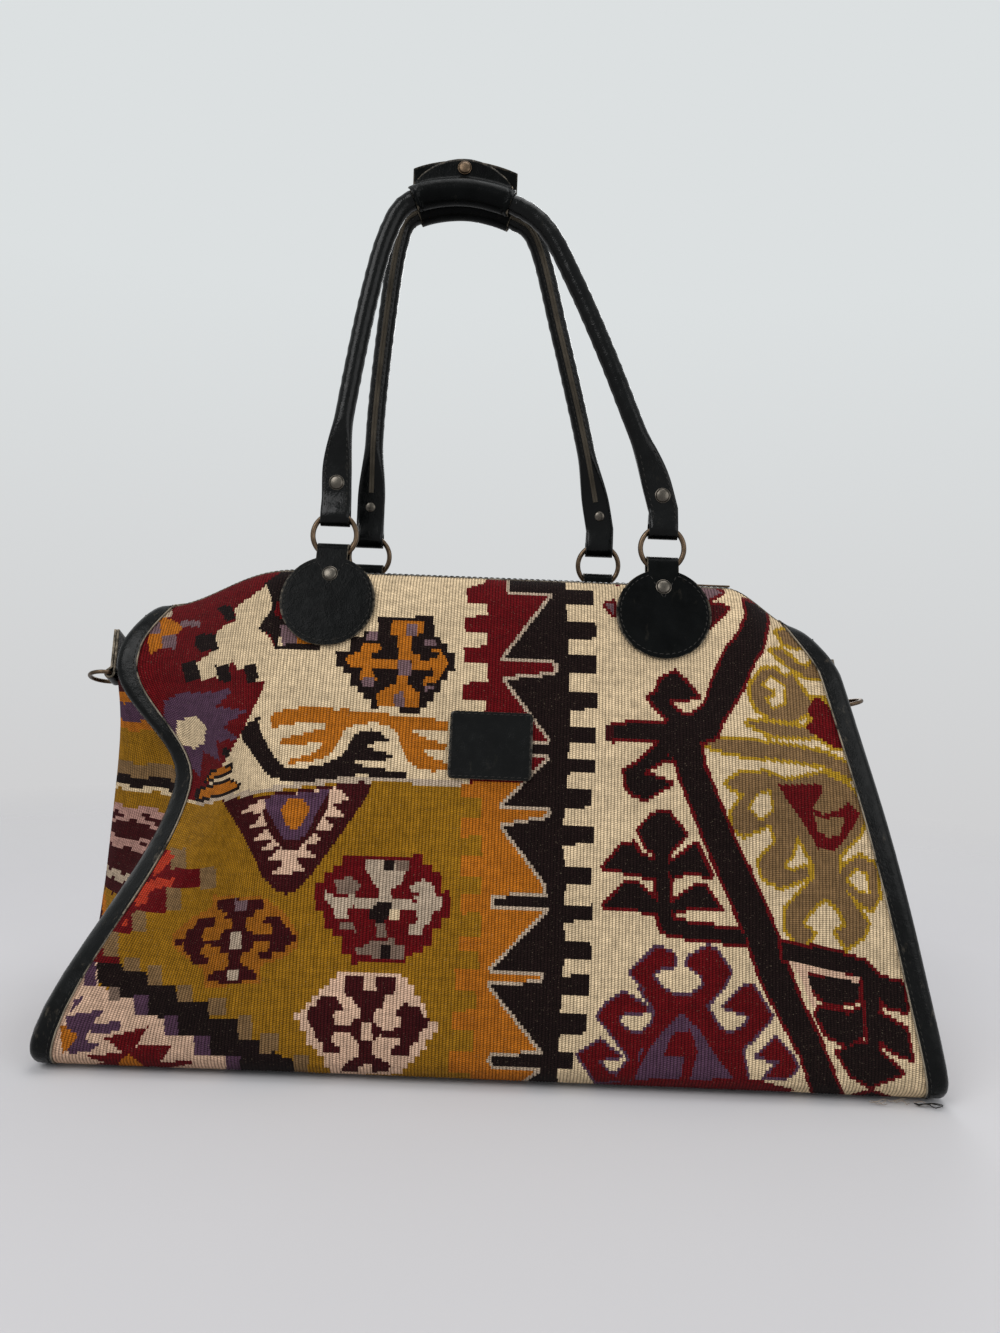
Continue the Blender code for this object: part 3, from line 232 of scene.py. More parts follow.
HEXAGON_HIGH = (
    ("dark_brown", 384, 613, 430, 618, 438, 638, 457, 655, 449, 679, 443, 681, 440, 688, 430, 700, 418,
     712, 400, 711, 372, 706, 352, 683, 340, 666, 334, 655, 348, 650, 349, 643, 376, 626),
    ("orange", 391, 621, 424, 634), ("lilac", 406, 622, 417, 634), ("orange", 398, 634, 412, 660),
    ("orange", 345, 658, 352, 653, 360, 652, 361, 644, 380, 642, 382, 650, 372, 652, 372, 657, 398, 658,
     398, 668, 372, 668, 374, 676, 380, 680, 360, 678, 362, 668, 352, 668),
    ("orange", 412, 654, 420, 654, 420, 660, 436, 658, 440, 652, 426, 648, 440, 648, 448, 662, 442, 674,
     436, 682, 424, 684, 424, 678, 434, 674, 432, 668, 412, 670),
    ("orange", 396, 674, 408, 692),
    ("orange", 378, 706, 376, 694, 392, 684, 410, 684, 420, 694, 418, 706), ("lilac", 398, 659, 411, 674),
    ("lilac", 394, 692, 404, 706), ("lilac", 366, 632, 378, 640), ("lilac", 362, 678, 374, 686),
    ("lilac", 424, 640, 436, 646), ("lilac", 424, 684, 434, 690),
)
BRANCHES = (
    ("dark_brown", 262, 716, 255, 718, 246, 724, 241, 732, 242, 740, 250, 750, 262, 768, 272, 778, 290,
     780, 320, 780, 360, 774, 400, 779, 406, 778, 407, 773, 358, 764, 354, 760, 388, 759, 394, 755, 368,
     747, 366, 743, 390, 741, 380, 731, 372, 729, 362, 730, 354, 734, 347, 748, 342, 755, 322, 764, 300,
     768, 286, 768, 274, 756, 264, 738, 258, 722),
    ("dark_brown", 194, 799, 196, 788, 230, 778, 241, 783, 238, 790, 203, 801),
    ("orange", 198, 797, 200, 790, 230, 781, 238, 783, 236, 788, 205, 797),
    ("dark_brown", 203, 782, 210, 770, 233, 761, 232, 772, 208, 782),
    ("orange", 206, 780, 212, 772, 232, 764, 230, 769, 208, 779), ("dark_brown", 222, 748, 230, 756),
    ("orange", 270, 716, 275, 711, 305, 706, 352, 710, 352, 724, 344, 730, 337, 745, 328, 756, 306, 762,
     288, 763, 290, 759, 310, 754, 322, 746, 322, 741, 302, 744, 280, 744, 282, 738, 303, 733, 326, 727,
     326, 724, 300, 722, 272, 727),
    ("orange", 340, 708, 400, 715, 448, 720, 448, 732, 412, 730, 424, 737, 447, 744, 447, 748, 424, 750,
     430, 756, 447, 763, 447, 768, 434, 771, 420, 769, 408, 760, 402, 748, 398, 734, 390, 726, 376, 722,
     360, 723, 346, 728, 340, 728),
)
TRIANGLE = (
    ("maroon", 222, 800, 242, 797, 345, 783, 363, 781, 371, 784, 369, 792, 360, 806, 345, 828, 313, 872,
     297, 890, 286, 894, 276, 890, 262, 877, 256, 862, 240, 830, 225, 806),
    ("pale_pink", 262, 798, 250, 806, 238, 812, 262, 812, 256, 822, 246, 829, 268, 827, 252, 841, 274,
     839, 260, 850, 282, 846, 266, 860, 286, 862, 268, 875, 305, 871, 296, 858, 316, 856, 303, 846, 322,
     840, 312, 830, 336, 828, 324, 818, 345, 816, 332, 804, 350, 799, 342, 790, 335, 787),
    ("maroon", 270, 799, 330, 791, 328, 806, 312, 834, 297, 850, 282, 848, 270, 834, 262, 812),
    ("purple", 264, 797, 330, 789, 320, 806, 306, 834, 296, 841, 284, 839, 276, 826, 268, 812),
    ("orange", 281, 808, 290, 797, 303, 799, 310, 808, 303, 822, 294, 830, 284, 822),
)
HEXAGON_MID = (
    ("dark_red", 342, 856, 418, 856, 440, 880, 450, 906, 434, 936, 416, 958, 406, 958, 404, 966, 350,
     960, 342, 944, 328, 930, 312, 894),
    ("pale", 366, 859, 409, 860, 409, 871, 403, 873, 402, 884, 391, 888, 392, 901, 379, 901, 379, 888,
     372, 883, 372, 876, 366, 872),
    ("dark_brown", 384, 859, 394, 871), ("grey", 395, 860, 409, 871),
    ("pale", 354, 899, 404, 899, 419, 902, 419, 909, 392, 910, 354, 906),
    ("grey", 334, 880, 351, 876, 361, 885, 354, 894, 338, 895),
    ("pale", 325, 890, 335, 896, 355, 895, 356, 905, 347, 908, 349, 920, 335, 919, 333, 907, 325, 899),
    ("grey", 339, 920, 353, 922, 356, 931, 340, 930),
    ("dark_brown", 377, 903, 391, 903, 391, 911, 384, 922, 370, 920, 369, 911),
    ("cream", 390, 910, 399, 920), ("grey", 376, 922, 386, 938),
    ("grey", 354, 946, 369, 945, 369, 939, 395, 939, 395, 945, 404, 946, 403, 959, 357, 955),
    ("dark_brown", 380, 945, 391, 957),
    ("pale", 410, 885, 423, 879, 434, 885, 434, 893, 442, 897, 441, 909, 433, 912, 430, 923, 423, 926,
     422, 933, 409, 933, 408, 926, 419, 921, 416, 911, 419, 902, 414, 897, 423, 891, 411, 890),
)
CROSS = (
    ("gold", 213, 895, 265, 897, 285, 913, 298, 932, 297, 947, 282, 958, 260, 965, 260, 984, 205, 986,
     202, 968, 187, 958, 172, 945, 173, 933, 192, 917, 212, 907),
    ("maroon", 217, 899, 263, 898, 264, 908, 255, 910, 253, 918, 246, 918, 245, 929, 253, 929, 254, 935,
     264, 935, 264, 941, 254, 942, 252, 949, 241, 954, 240, 963, 256, 972, 257, 979, 238, 982, 208, 982,
     207, 976, 215, 971, 228, 967, 228, 954, 220, 952, 220, 945, 205, 945, 205, 939, 220, 938, 222, 931,
     232, 929, 232, 918, 225, 918, 223, 915, 230, 912, 217, 910),
    ("maroon", 175, 940, 185, 937, 187, 929, 195, 926, 197, 919, 215, 918, 215, 926, 204, 929, 201, 938,
     205, 940, 205, 945, 201, 947, 200, 953, 209, 958, 208, 965, 192, 964, 190, 955, 184, 952, 183, 943,
     175, 945),
    ("maroon", 263, 919, 268, 917, 281, 916, 283, 924, 290, 928, 291, 933, 297, 935, 296, 941, 287, 944,
     285, 950, 273, 952, 272, 957, 259, 958, 258, 953, 267, 951, 270, 942, 263, 941, 263, 935, 271, 935,
     272, 925, 263, 924),
    ("lilac", 235, 899, 247, 911), ("pale", 230, 932, 241, 948), ("pale", 227, 971, 238, 981),
)
HEXAGON_LOW = (
    ("pale_pink", 338, 972, 402, 974, 422, 1002, 430, 1020, 438, 1022, 436, 1032, 426, 1044, 408, 1066,
     398, 1076, 336, 1078, 300, 1030, 296, 1018),
    ("maroon", 345, 976, 396, 977, 396, 992, 385, 996, 383, 1007, 375, 1010, 373, 1021, 382, 1028, 380,
     1037, 372, 1040, 372, 1054, 390, 1064, 389, 1072, 341, 1072, 341, 1068, 348, 1061, 358, 1055, 358,
     1042, 351, 1036, 351, 1021, 361, 1016, 361, 1009, 354, 1004, 353, 997, 345, 995),
    ("pale_pink", 363, 976, 376, 990), ("pale_pink", 361, 1023, 372, 1039),
    ("pale_pink", 359, 1065, 372, 1073),
    ("maroon", 307, 1017, 308, 1008, 316, 1004, 316, 998, 334, 995, 344, 1007, 341, 1012, 333, 1012,
     334, 1023, 351, 1026, 351, 1031, 333, 1030, 332, 1042, 340, 1047, 339, 1053, 323, 1053, 322, 1042,
     314, 1038, 314, 1028, 308, 1023),
    ("maroon", 395, 1011, 404, 1003, 419, 1007, 423, 1015, 429, 1019, 428, 1026, 419, 1033, 418, 1042,
     410, 1045, 410, 1055, 391, 1056, 390, 1049, 399, 1044, 400, 1036, 381, 1037, 381, 1030, 400, 1028,
     402, 1019, 396, 1015),
)
STEPS = (
    ("dark_red", 60, 848, 170, 868), ("dark_red", 60, 867, 200, 888), ("dark_red", 60, 888, 166, 912),
    ("dark_red", 60, 911, 132, 932), ("dark_red", 60, 932, 104, 956), ("dark_red", 40, 956, 120, 966),
    ("taupe", 170, 848, 186, 868), ("taupe", 200, 867, 216, 888), ("taupe", 166, 888, 181, 911),
    ("taupe", 132, 911, 146, 932), ("taupe", 103, 932, 118, 956),
    ("orange_red", 168, 850, 174, 856, 160, 872, 152, 876, 156, 862),
    ("orange_red", 142, 884, 154, 878, 174, 878, 172, 885, 152, 889, 144, 898, 136, 902),
    ("orange_red", 134, 899, 146, 894, 148, 902, 136, 906), ("orange_red", 120, 926, 126, 916, 128, 924),
)
LOWER_LEFT = (
    ("pale_pink", 30, 962, 98, 962, 98, 984, 120, 996, 147, 1000, 210, 1036, 240, 1072, 30, 1084),
    ("dark_brown", 96, 962, 122, 962, 124, 972, 146, 970, 148, 984, 176, 986, 177, 1000, 208, 1002, 209,
     1017, 238, 1018, 240, 1038, 262, 1040, 276, 1054, 294, 1060, 296, 1072, 240, 1072, 240, 1058, 210,
     1056, 210, 1036, 178, 1034, 178, 1018, 148, 1016, 147, 1000, 120, 996, 118, 986, 98, 984),
    ("taupe", 124, 956, 140, 970), ("taupe", 148, 964, 162, 984), ("taupe", 177, 984, 192, 1000),
    ("taupe", 208, 998, 226, 1016), ("taupe", 238, 1016, 252, 1038), ("taupe", 260, 1034, 278, 1052),
    ("taupe", 294, 1056, 308, 1074), ("purple", 84, 962, 96, 986), ("grey", 108, 986, 120, 1000),
    ("purple", 134, 996, 148, 1016), ("purple", 164, 1016, 178, 1036), ("purple", 194, 1036, 210, 1056),
    ("purple", 226, 1056, 240, 1072),
    ("purple", 66, 1016, 82, 1012, 104, 1010, 96, 1018, 84, 1040, 100, 1044, 92, 1050, 70, 1054, 64,
     1040),
    ("purple", 68, 1014, 74, 1000, 86, 994, 80, 1002), ("purple", 90, 1022, 120, 1032),
    ("orange", 60, 1024, 66, 1026, 78, 1036, 70, 1046, 62, 1054),
    ("dark_red", 104, 1038, 148, 1026, 136, 1046, 172, 1044, 160, 1062, 192, 1060, 192, 1064, 164, 1068,
     76, 1070, 104, 1062, 84, 1056, 122, 1052, 112, 1044),
    ("orange", 116, 1076, 120, 1060, 128, 1054, 136, 1060, 148, 1068),
)
SHOULDER = (
    ("dark_red", 140, 640, 150, 590, 298, 566, 276, 636, 262, 690, 240, 735, 222, 765, 196, 800, 120,
     800, 118, 690),
    ("dark_brown", 265, 582, 289, 566, 300, 565, 292, 591, 277, 602, 274, 613, 285, 620, 289, 608, 295,
     629, 282, 625, 277, 647, 270, 634, 258, 629, 262, 593),
    ("cream", 196, 662, 216, 649, 213, 635, 228, 622, 236, 620, 234, 608, 266, 585, 271, 594, 272, 608,
     258, 627, 271, 638, 274, 649, 270, 664, 265, 679, 255, 681, 250, 664, 239, 671, 232, 660, 223, 676,
     201, 679),
    ("dark_brown", 195, 634, 215, 633, 218, 649, 201, 651, 195, 645),
    ("dark_brown", 181, 662, 195, 659, 201, 678, 185, 682),
    ("dark_brown", 215, 665, 228, 664, 232, 679, 219, 682),
    ("dark_brown", 243, 664, 255, 662, 259, 679, 247, 682),
    ("dark_brown", 217, 607, 230, 604, 236, 618, 227, 622, 223, 615),
    ("lilac", 280, 625, 295, 626, 298, 643, 282, 645), ("orange", 296, 633, 316, 634, 316, 643, 297, 643),
    ("dark_brown", 273, 645, 282, 644, 320, 643, 320, 649, 275, 650),
    ("purple", 164, 701, 181, 692, 206, 692, 234, 688, 216, 706, 247, 710, 222, 726, 238, 738, 216, 741,
     219, 760, 203, 751, 200, 776, 184, 760, 172, 741, 164, 722),
    ("cream", 178, 720, 196, 716, 206, 726, 204, 742, 194, 748, 180, 744, 176, 732),
    ("orange", 148, 640, 152, 626, 164, 616, 178, 622, 182, 628, 164, 646, 150, 654),
    ("lilac", 162, 634, 176, 648), ("lilac", 150, 622, 160, 632), ("pale", 156, 608, 172, 616),
    ("lilac", 180, 620, 200, 626),
)
DIAGONAL = (
    ("lilac", 606, 572, 620, 576, 618, 582), ("lilac", 606, 604, 613, 602, 614, 614),
    ("lilac", 694, 582, 706, 582, 722, 592, 706, 600),
    ("maroon", 706, 606, 718, 604, 727, 608, 720, 616, 708, 626),
    ("dark_brown", 744, 600, 766, 606, 767, 624, 762, 648, 752, 664, 742, 688, 730, 708, 721, 722, 717,
     736, 700, 742, 704, 766, 712, 784, 718, 800, 726, 820, 736, 844, 748, 868, 760, 894, 778, 938, 786,
     962, 800, 1000, 818, 1036, 834, 1076, 848, 1112, 820, 1112, 802, 1056, 786, 1026, 762, 980, 748,
     940, 730, 896, 708, 846, 690, 800, 682, 780, 676, 760, 656, 746, 668, 722, 690, 716, 706, 704, 714,
     678, 728, 646, 740, 634, 748, 612),
    ("dark_brown", 649, 697, 658, 690, 661, 679, 675, 672, 684, 680, 698, 696, 680, 699, 666, 700, 676,
     710, 686, 716, 700, 712, 690, 722, 672, 722, 656, 706),
    ("maroon", 606, 724, 625, 739), ("dark_brown", 613, 724, 668, 722, 664, 738, 613, 739),
    ("dark_brown", 656, 746, 636, 764, 625, 770, 627, 786, 634, 794, 646, 798, 662, 788, 671, 783, 642,
     772, 662, 760, 672, 758, 680, 764),
    ("dark_brown", 639, 829, 654, 814, 668, 812, 686, 834, 672, 848, 668, 855, 656, 853, 647, 847),
    ("dark_brown", 604, 867, 621, 846, 634, 843, 639, 853, 656, 862, 659, 879, 631, 872),
    ("dark_brown", 665, 866, 684, 853, 696, 843, 711, 875, 686, 872, 673, 877),
    ("dark_brown", 604, 905, 626, 882, 639, 885, 658, 902, 660, 912, 623, 908),
    ("dark_brown", 668, 905, 697, 885, 705, 886, 721, 909, 686, 908, 673, 912),
    ("dark_brown", 655, 853, 668, 853, 671, 923, 659, 923),
    ("dark_brown", 658, 918, 672, 918, 686, 922, 747, 932, 745, 944, 673, 935, 663, 931),
)
LEAVES = (
    ("pale_pink", 787, 959, 798, 960, 860, 978, 858, 982, 807, 972, 812, 992, 818, 1007, 812, 1007, 800,
     975),
    ("dark_brown", 781, 941, 840, 953, 866, 962, 881, 977, 904, 984, 904, 992, 840, 970, 784, 961),
    ("dark_brown", 862, 973, 878, 976, 880, 1082, 873, 1082),
    ("dark_brown", 807, 974, 860, 982, 858, 1000, 847, 1003, 827, 1004, 812, 988),
    ("dark_brown", 818, 1007, 848, 1014, 863, 1007, 864, 1034, 848, 1046, 827, 1034, 817, 1015),
    ("dark_brown", 838, 1052, 860, 1042, 872, 1044, 902, 1073, 870, 1086, 852, 1075),
    ("dark_brown", 871, 979, 904, 988, 907, 1011, 889, 1007, 878, 996),
    ("dark_brown", 876, 1011, 906, 1029, 912, 1059, 893, 1051, 878, 1038),
    ("dark_brown", 848, 1098, 872, 1092, 898, 1102, 852, 1105),
)
CROWNED_HOOKS = (
    ("dark_red", 631, 972, 657, 946, 674, 954, 675, 965, 660, 968, 652, 975, 662, 988, 676, 996, 690,
     996, 704, 986, 703, 976, 687, 964, 690, 956, 709, 946, 718, 952, 731, 972, 724, 986, 706, 1006,
     720, 1028, 730, 1034, 745, 1026, 750, 1016, 724, 1006, 742, 988, 752, 984, 772, 1016, 752, 1040,
     742, 1048, 748, 1080, 634, 1080, 640, 1056, 664, 1010),
    ("dark_red", 598, 1016, 606, 1004, 624, 992, 652, 1010, 620, 1014, 618, 1022, 626, 1030, 640, 1034,
     652, 1024, 656, 1010, 640, 988, 664, 1000, 660, 1034, 640, 1050, 614, 1036),
    ("dark_red", 578, 1054, 600, 1040, 620, 1056, 598, 1060, 606, 1070, 616, 1076, 630, 1058, 614, 1036,
     640, 1040, 636, 1080, 596, 1082),
    ("dark_red", 757, 1056, 776, 1038, 792, 1056, 797, 1068, 790, 1076, 764, 1078, 780, 1062),
    ("purple", 682, 1012, 700, 1030, 712, 1050, 734, 1079, 634, 1079, 648, 1050, 664, 1030),
    ("dark_red", 676, 1030, 690, 1030, 698, 1050, 690, 1079, 680, 1079, 684, 1058, 664, 1056, 668, 1044),
    ("dark_red", 586, 1086, 636, 1080, 760, 1080, 796, 1090, 780, 1094),
)
SCROLLS = (
    ("taupe", 777, 631, 786, 629, 797, 639, 807, 644, 797, 647, 784, 643),
    ("taupe", 771, 649, 781, 649, 797, 663, 807, 668, 815, 657, 834, 673, 823, 678, 805, 676, 786, 663),
    ("taupe", 751, 684, 763, 669, 773, 668, 786, 678, 792, 673, 798, 684, 812, 702, 807, 713, 792, 721,
     771, 718, 756, 707, 751, 694),
    ("taupe", 748, 722, 763, 721, 807, 728, 821, 734, 807, 737, 771, 735),
    ("dark_red", 807, 710, 813, 698, 823, 699, 839, 718, 854, 749, 834, 747, 818, 736, 805, 728, 813,
     718),
    ("taupe", 703, 740, 734, 740, 781, 744, 823, 752, 847, 763, 863, 778, 849, 777, 823, 765, 786, 759,
     744, 755, 713, 748),
    ("taupe", 727, 782, 742, 772, 763, 772, 786, 780, 798, 834, 792, 855, 782, 865, 792, 872, 807, 866,
     809, 877, 781, 887, 763, 877, 759, 861, 771, 847, 777, 842, 771, 823, 744, 835, 733, 827, 732, 812,
     745, 793, 734, 789),
    ("taupe", 786, 780, 823, 773, 847, 784, 868, 807, 860, 834, 839, 855, 839, 876, 847, 892, 868, 923,
     864, 935, 847, 948, 836, 931, 848, 925, 838, 907, 826, 897, 814, 906, 801, 923, 814, 933, 802, 948,
     786, 928, 787, 907, 814, 878, 815, 865, 797, 834),
    ("dark_red", 778, 784, 821, 784, 823, 792, 813, 807, 823, 814, 839, 809, 849, 802, 860, 813, 849,
     834, 834, 852, 818, 848, 807, 828, 797, 813, 786, 797),
    ("taupe", 814, 813, 823, 818, 845, 817, 840, 834, 829, 837, 818, 831),
    ("taupe", 837, 876, 847, 863, 860, 856, 876, 865, 879, 897, 871, 909, 856, 899, 844, 886),
)
SCROLL_EYES = (
    ("cream", 764, 684, 771, 678, 784, 686, 784, 702, 773, 706, 768, 698, 776, 696, 775, 689),
    ("cream", 751, 807, 758, 795, 769, 792, 772, 809, 761, 818),
    ("cream", 848, 879, 856, 871, 866, 874, 868, 892, 859, 889),
)
FIELD_LINE = (198, 803, 230, 796, 262, 790, 300, 784, 345, 779, 400, 780, 462, 784)
OLIVE_FIELD = ("olive", 20, 803) + FIELD_LINE + (490, 784, 490, 1120, 20, 1120)
OUTLINED = {"zigzag": ("pale", 3.4), "scrolls": ("mustard", 3.6), "diagonal": ("dark_red", 3.4),
            "hooks": ("purple", 2.8), "eyes": ("mustard", 2.6)}
END_BANDS = (
    (0.000, "maroon"), (0.018, "cream"), (0.026, "maroon"), (0.044, "olive"), (0.092, "maroon"),
    (0.100, "pale"), (0.106, "maroon"), (0.122, "pink"), (0.127, "maroon"), (0.146, "pink"),
    (0.152, "olive"), (0.163, "cream"), (0.167, "dark_brown"), (0.174, "taupe"), (0.184, "olive"),
    (0.208, "orange"), (0.214, "purple"), (0.228, "orange"), (0.236, "maroon"), (0.262, "purple"),
    (0.272, "maroon"), (0.290, "dark_brown"))
END_DIAMONDS = ((0.135, 0.030, 0.011, "pink"), (0.135, 0.024, 0.0075, "maroon"),
                (0.069, 0.032, 0.020, "orange"), (0.069, 0.022, 0.013, "maroon"))


# The shape of the bag, as in the part's source

NEAR = 0.004


def smooth_step(value):
    value = min(max(value, 0.0), 1.0)
    return value * value * (3.0 - 2.0 * value)


def mix(a, b, share):
    return a + (b - a) * share


def catmull(points, steps):
    """A smooth curve through the points, with steps[i] divisions in span i."""
    count = len(points)
    curve = []
    for index in range(count - 1):
        before = points[max(index - 1, 0)]
        start = points[index]
        end = points[index + 1]
        after = points[min(index + 2, count - 1)]
        for step in range(steps[index]):
            t = step / steps[index]
            curve.append(0.5 * (2.0 * start + (end - before) * t
                                + (2.0 * before - 5.0 * start + 4.0 * end - after) * t * t
                                + (3.0 * start - before - 3.0 * end + after) * t * t * t))
    curve.append(points[-1].copy())
    return curve


def outline_guides():
    """Points of the half outline in (y, z), from the flat of the base up to the mouth's edge."""
    widest = Vector((BASE_DEPTH / 2, BASE_WIDEST_HEIGHT))
    shoulder = Vector((SHOULDER_DEPTH / 2, BODY_HEIGHT - SHOULDER_DROP))
    mouth = Vector((MOUTH_WIDTH / 2 + SEAM_GAP, BODY_HEIGHT - MOUTH_DROP))
    foot = Vector((BASE_FLAT_DEPTH / 2, 0.0))
    toe = Vector((mix(foot.x, widest.x, 0.78), BASE_WIDEST_HEIGHT * 0.20))
    guides = [foot, toe, widest]
    for share in (0.28, 0.56, 0.82):
        point = widest.lerp(shoulder, share)
        point.x += FACE_BOW * math.sin(math.pi * share)
        guides.append(point)
    lip = mouth + Vector((LIP_WIDTH, -LIP_WIDTH * 0.12))
    brow = Vector((mix(shoulder.x, lip.x, 0.55), mix(shoulder.y, lip.y, 0.72)))
    return guides + [shoulder, brow, lip, mouth]


def half_outline():
    """The rows of the half outline, from the middle of the base to the mouth's edge."""
    flat = [Vector((BASE_FLAT_DEPTH / 2 * step / BASE_ROWS, 0.0)) for step in range(BASE_ROWS)]
    return flat + catmull(outline_guides(), ROWS_PER_SPAN)


def mouth_height(y):
    """The height of the top between the two mouth edges."""
    share = min(abs(y) / (MOUTH_WIDTH / 2 + SEAM_GAP), 1.0)
    return BODY_HEIGHT - MOUTH_DROP * share * share


def panel_rows():
    """The outline from the front mouth edge, under the base, to the back mouth edge."""
    half = half_outline()
    front = [Vector((-point.x, point.y)) for point in reversed(half)]
    return front + half[1:]


def ring_rows():
    """The outline as a closed loop, with the rows that cross the mouth."""
    rows = panel_rows()
    edge = rows[-1].x
    crossing = []
    for step in range(1, 2 * MOUTH_ROWS):
        y = edge * (1.0 - step / MOUTH_ROWS)
        crossing.append(Vector((y, mouth_height(y))))
    return rows + crossing


def outline_normals(rows, closed):
    """Outward unit normals in YZ, one for each row."""
    normals = []
    count = len(rows)
    for index in range(count):
        if closed:
            before = rows[index - 1]
            after = rows[(index + 1) % count]
        else:
            before = rows[max(index - 1, 0)]
            after = rows[min(index + 1, count - 1)]
        run = after - before
        normals.append(Vector((run.y, -run.x)).normalized())
    return normals


@functools.cache
def face_line():
    """The face of the half outline, finely divided."""
    return catmull(outline_guides()[2:], [12] * 7)


def face_depth(z):
    """Half the body's depth at a height, read from the face of the outline."""
    half = face_line()
    for low, high in zip(half, half[1:]):
        if low.y <= z <= high.y:
            return mix(low.x, high.x, (z - low.y) / (high.y - low.y))
    return half[0].x if z < half[0].y else half[-1].x


def half_length(z):
    """Half the body's length at a height."""
    line = BODY_HEIGHT - SHOULDER_LINE_DROP
    if z <= line:
        share = z / line
        return mix(BASE_LENGTH, SHOULDER_LENGTH, share) / 2 + END_BOW * math.sin(math.pi * share)
    share = (z - line) / SHOULDER_LINE_DROP
    return mix(SHOULDER_LENGTH, TOP_LENGTH, share ** 1.5) / 2


def ridge_scale(x):
    """The top edge droops towards both ends, and everything below it is lowered in step."""
    end = TOP_LENGTH / 2
    run = LEFT_DROP_RUN if x < 0 else RIGHT_DROP_RUN
    drop = RIDGE_DROP * smooth_step((abs(x) - (end - run)) / run)
    return (BODY_HEIGHT - drop) / BODY_HEIGHT


def fold_line(z):
    """X of the fold that runs down from the top to the pinch at the left end."""
    knee = BODY_HEIGHT * FOLD_KNEE
    if z > knee:
        return mix(FOLD_KNEE_X, FOLD_TOP_X, (z - knee) / (BODY_HEIGHT - knee))
    return mix(FOLD_LOW_X, FOLD_KNEE_X, (z - PINCH_HEIGHT) / (knee - PINCH_HEIGHT))


def slump(point):
    """Moves a point of the true outline to where the soft bag has settled."""
    x, y, z = point
    x -= LEAN * z
    in_front = smooth_step((FRONT_FROM - y) / FRONT_FADE)
    rise = smooth_step(z / PINCH_HEIGHT) * (1.0 - smooth_step((z - PINCH_HEIGHT) / PINCH_FADE))
    pinch = PINCH_DEPTH * rise * smooth_step((-x - PINCH_FROM) / PINCH_RUN) * in_front
    near_top = smooth_step((z - NEAR_TOP_FROM) / NEAR_TOP_RUN)
    push = SHOULDER_FOLD_PUSH * smooth_step((fold_line(z) - x) / SHOULDER_FOLD_WIDTH)
    side = 1.0 if y > 0 else -1.0
    off_edges = smooth_step((z - 0.020) / 0.060) * smooth_step((0.265 - z) / 0.050)
    wave = math.sin(19.0 * x + 9.0 * z) * math.cos(13.0 * z - 5.0 * x + 0.6)
    belly = SLACK * wave * off_edges * smooth_step(abs(y) / 0.040)
    return Vector((x + pinch, y + push * mix(in_front, 1.0, near_top) + side * belly, z))


def body_point(x, y, z):
    """A point of the body's skin, from its place on the straight, true outline."""
    return slump(Vector((x, y, z * ridge_scale(x))))


def frame_matrix(origin, x_axis, y_axis, z_axis):
    turned = Matrix((x_axis, y_axis, z_axis)).transposed().to_4x4()
    return Matrix.Translation(origin) @ turned


def column_shares():
    """The columns as shares of the half length, crowded towards the ends where the folds are."""
    crowd = COLUMN_CROWDING * math.pi / 2
    steps = [2.0 * step / PANEL_COLUMNS - 1.0 for step in range(PANEL_COLUMNS + 1)]
    return [math.sin(crowd * step) / math.sin(crowd) for step in steps]


def panel_reach(z):
    return half_length(z) - BINDING_ON_PANEL - SEAM_GAP


def inset_point(point, normal, distance, side, bulge=0.0):
    """A point on the end of the body, a distance in from the outline."""
    inner = point - normal * distance
    return side * (half_length(inner.y) + bulge), inner.x, inner.y


def mouth_point(share, y, depth):
    """A point of the top at a share of the half length, a depth below the skin."""
    def skin(along, across):
        z = mouth_height(across)
        return body_point(panel_reach(z) * along, across, z)
    step = 0.01
    along = skin(share + step, y) - skin(share - step, y)
    across = skin(share, y + 0.001) - skin(share, y - 0.001)
    return skin(share, y) - along.cross(across).normalized() * depth


def loop_fit(tab_width):
    """The inner radius of a loop that the ring's curved wire can turn in, and its place.

    The second value is the distance from the ring's centre to the loop's axis.
    """
    outer = RING_RADIUS + RING_WIRE / 2
    inner = math.sqrt((RING_RADIUS - RING_WIRE / 2) ** 2 - (tab_width / 2) ** 2)
    return (outer - inner) / 2 + RING_CLEARANCE, (outer + inner) / 2


def fold_path(loop_inner, thickness, height, tail_end, start, side):
    """A strap's middle line in (normal, up): up the face, round the loop, and down again."""
    radius = loop_inner + thickness / 2
    behind = thickness + GAP
    low = height - 1.6 * radius
    to_tail = Vector((radius - behind, low - height))
    angle = math.atan2(to_tail.y, to_tail.x) + 2.0 * math.pi
    leave = angle - math.acos(radius / to_tail.length)
    path = [Vector((0.0, v)) for v in start]
    for step in range(FOLD_STEPS + 1):
        turn = leave * step / FOLD_STEPS
        path.append(Vector((-radius + radius * math.cos(turn), height + radius * math.sin(turn))))
    path += [Vector((-behind, low)), Vector((-behind, mix(low, tail_end, 0.5))),
             Vector((-behind, tail_end))]
    return [Vector((side * point.x, point.y)) for point in path]


def chape_frame(x, drop, side):
    """Origin and axes of a chape: its disc's centre, lying on the face's tangent."""
    centre_z = BODY_HEIGHT - drop
    touch_z = centre_z - CHAPE_TOUCH_DROP
    low, high = (Vector((0.0, side * face_depth(z), z)) for z in (touch_z - NEAR, touch_z + NEAR))
    up = (high - low).normalized()
    out = Vector((0.0, side * up.z, -side * up.y))
    touch = Vector((x, side * face_depth(touch_z), touch_z))
    origin = touch + up * (CHAPE_TOUCH_DROP / up.z) + out * (LAY_GAP + STRAP_THICKNESS / 2)
    return origin + out * washer_lift(origin, up, out, side), up, out


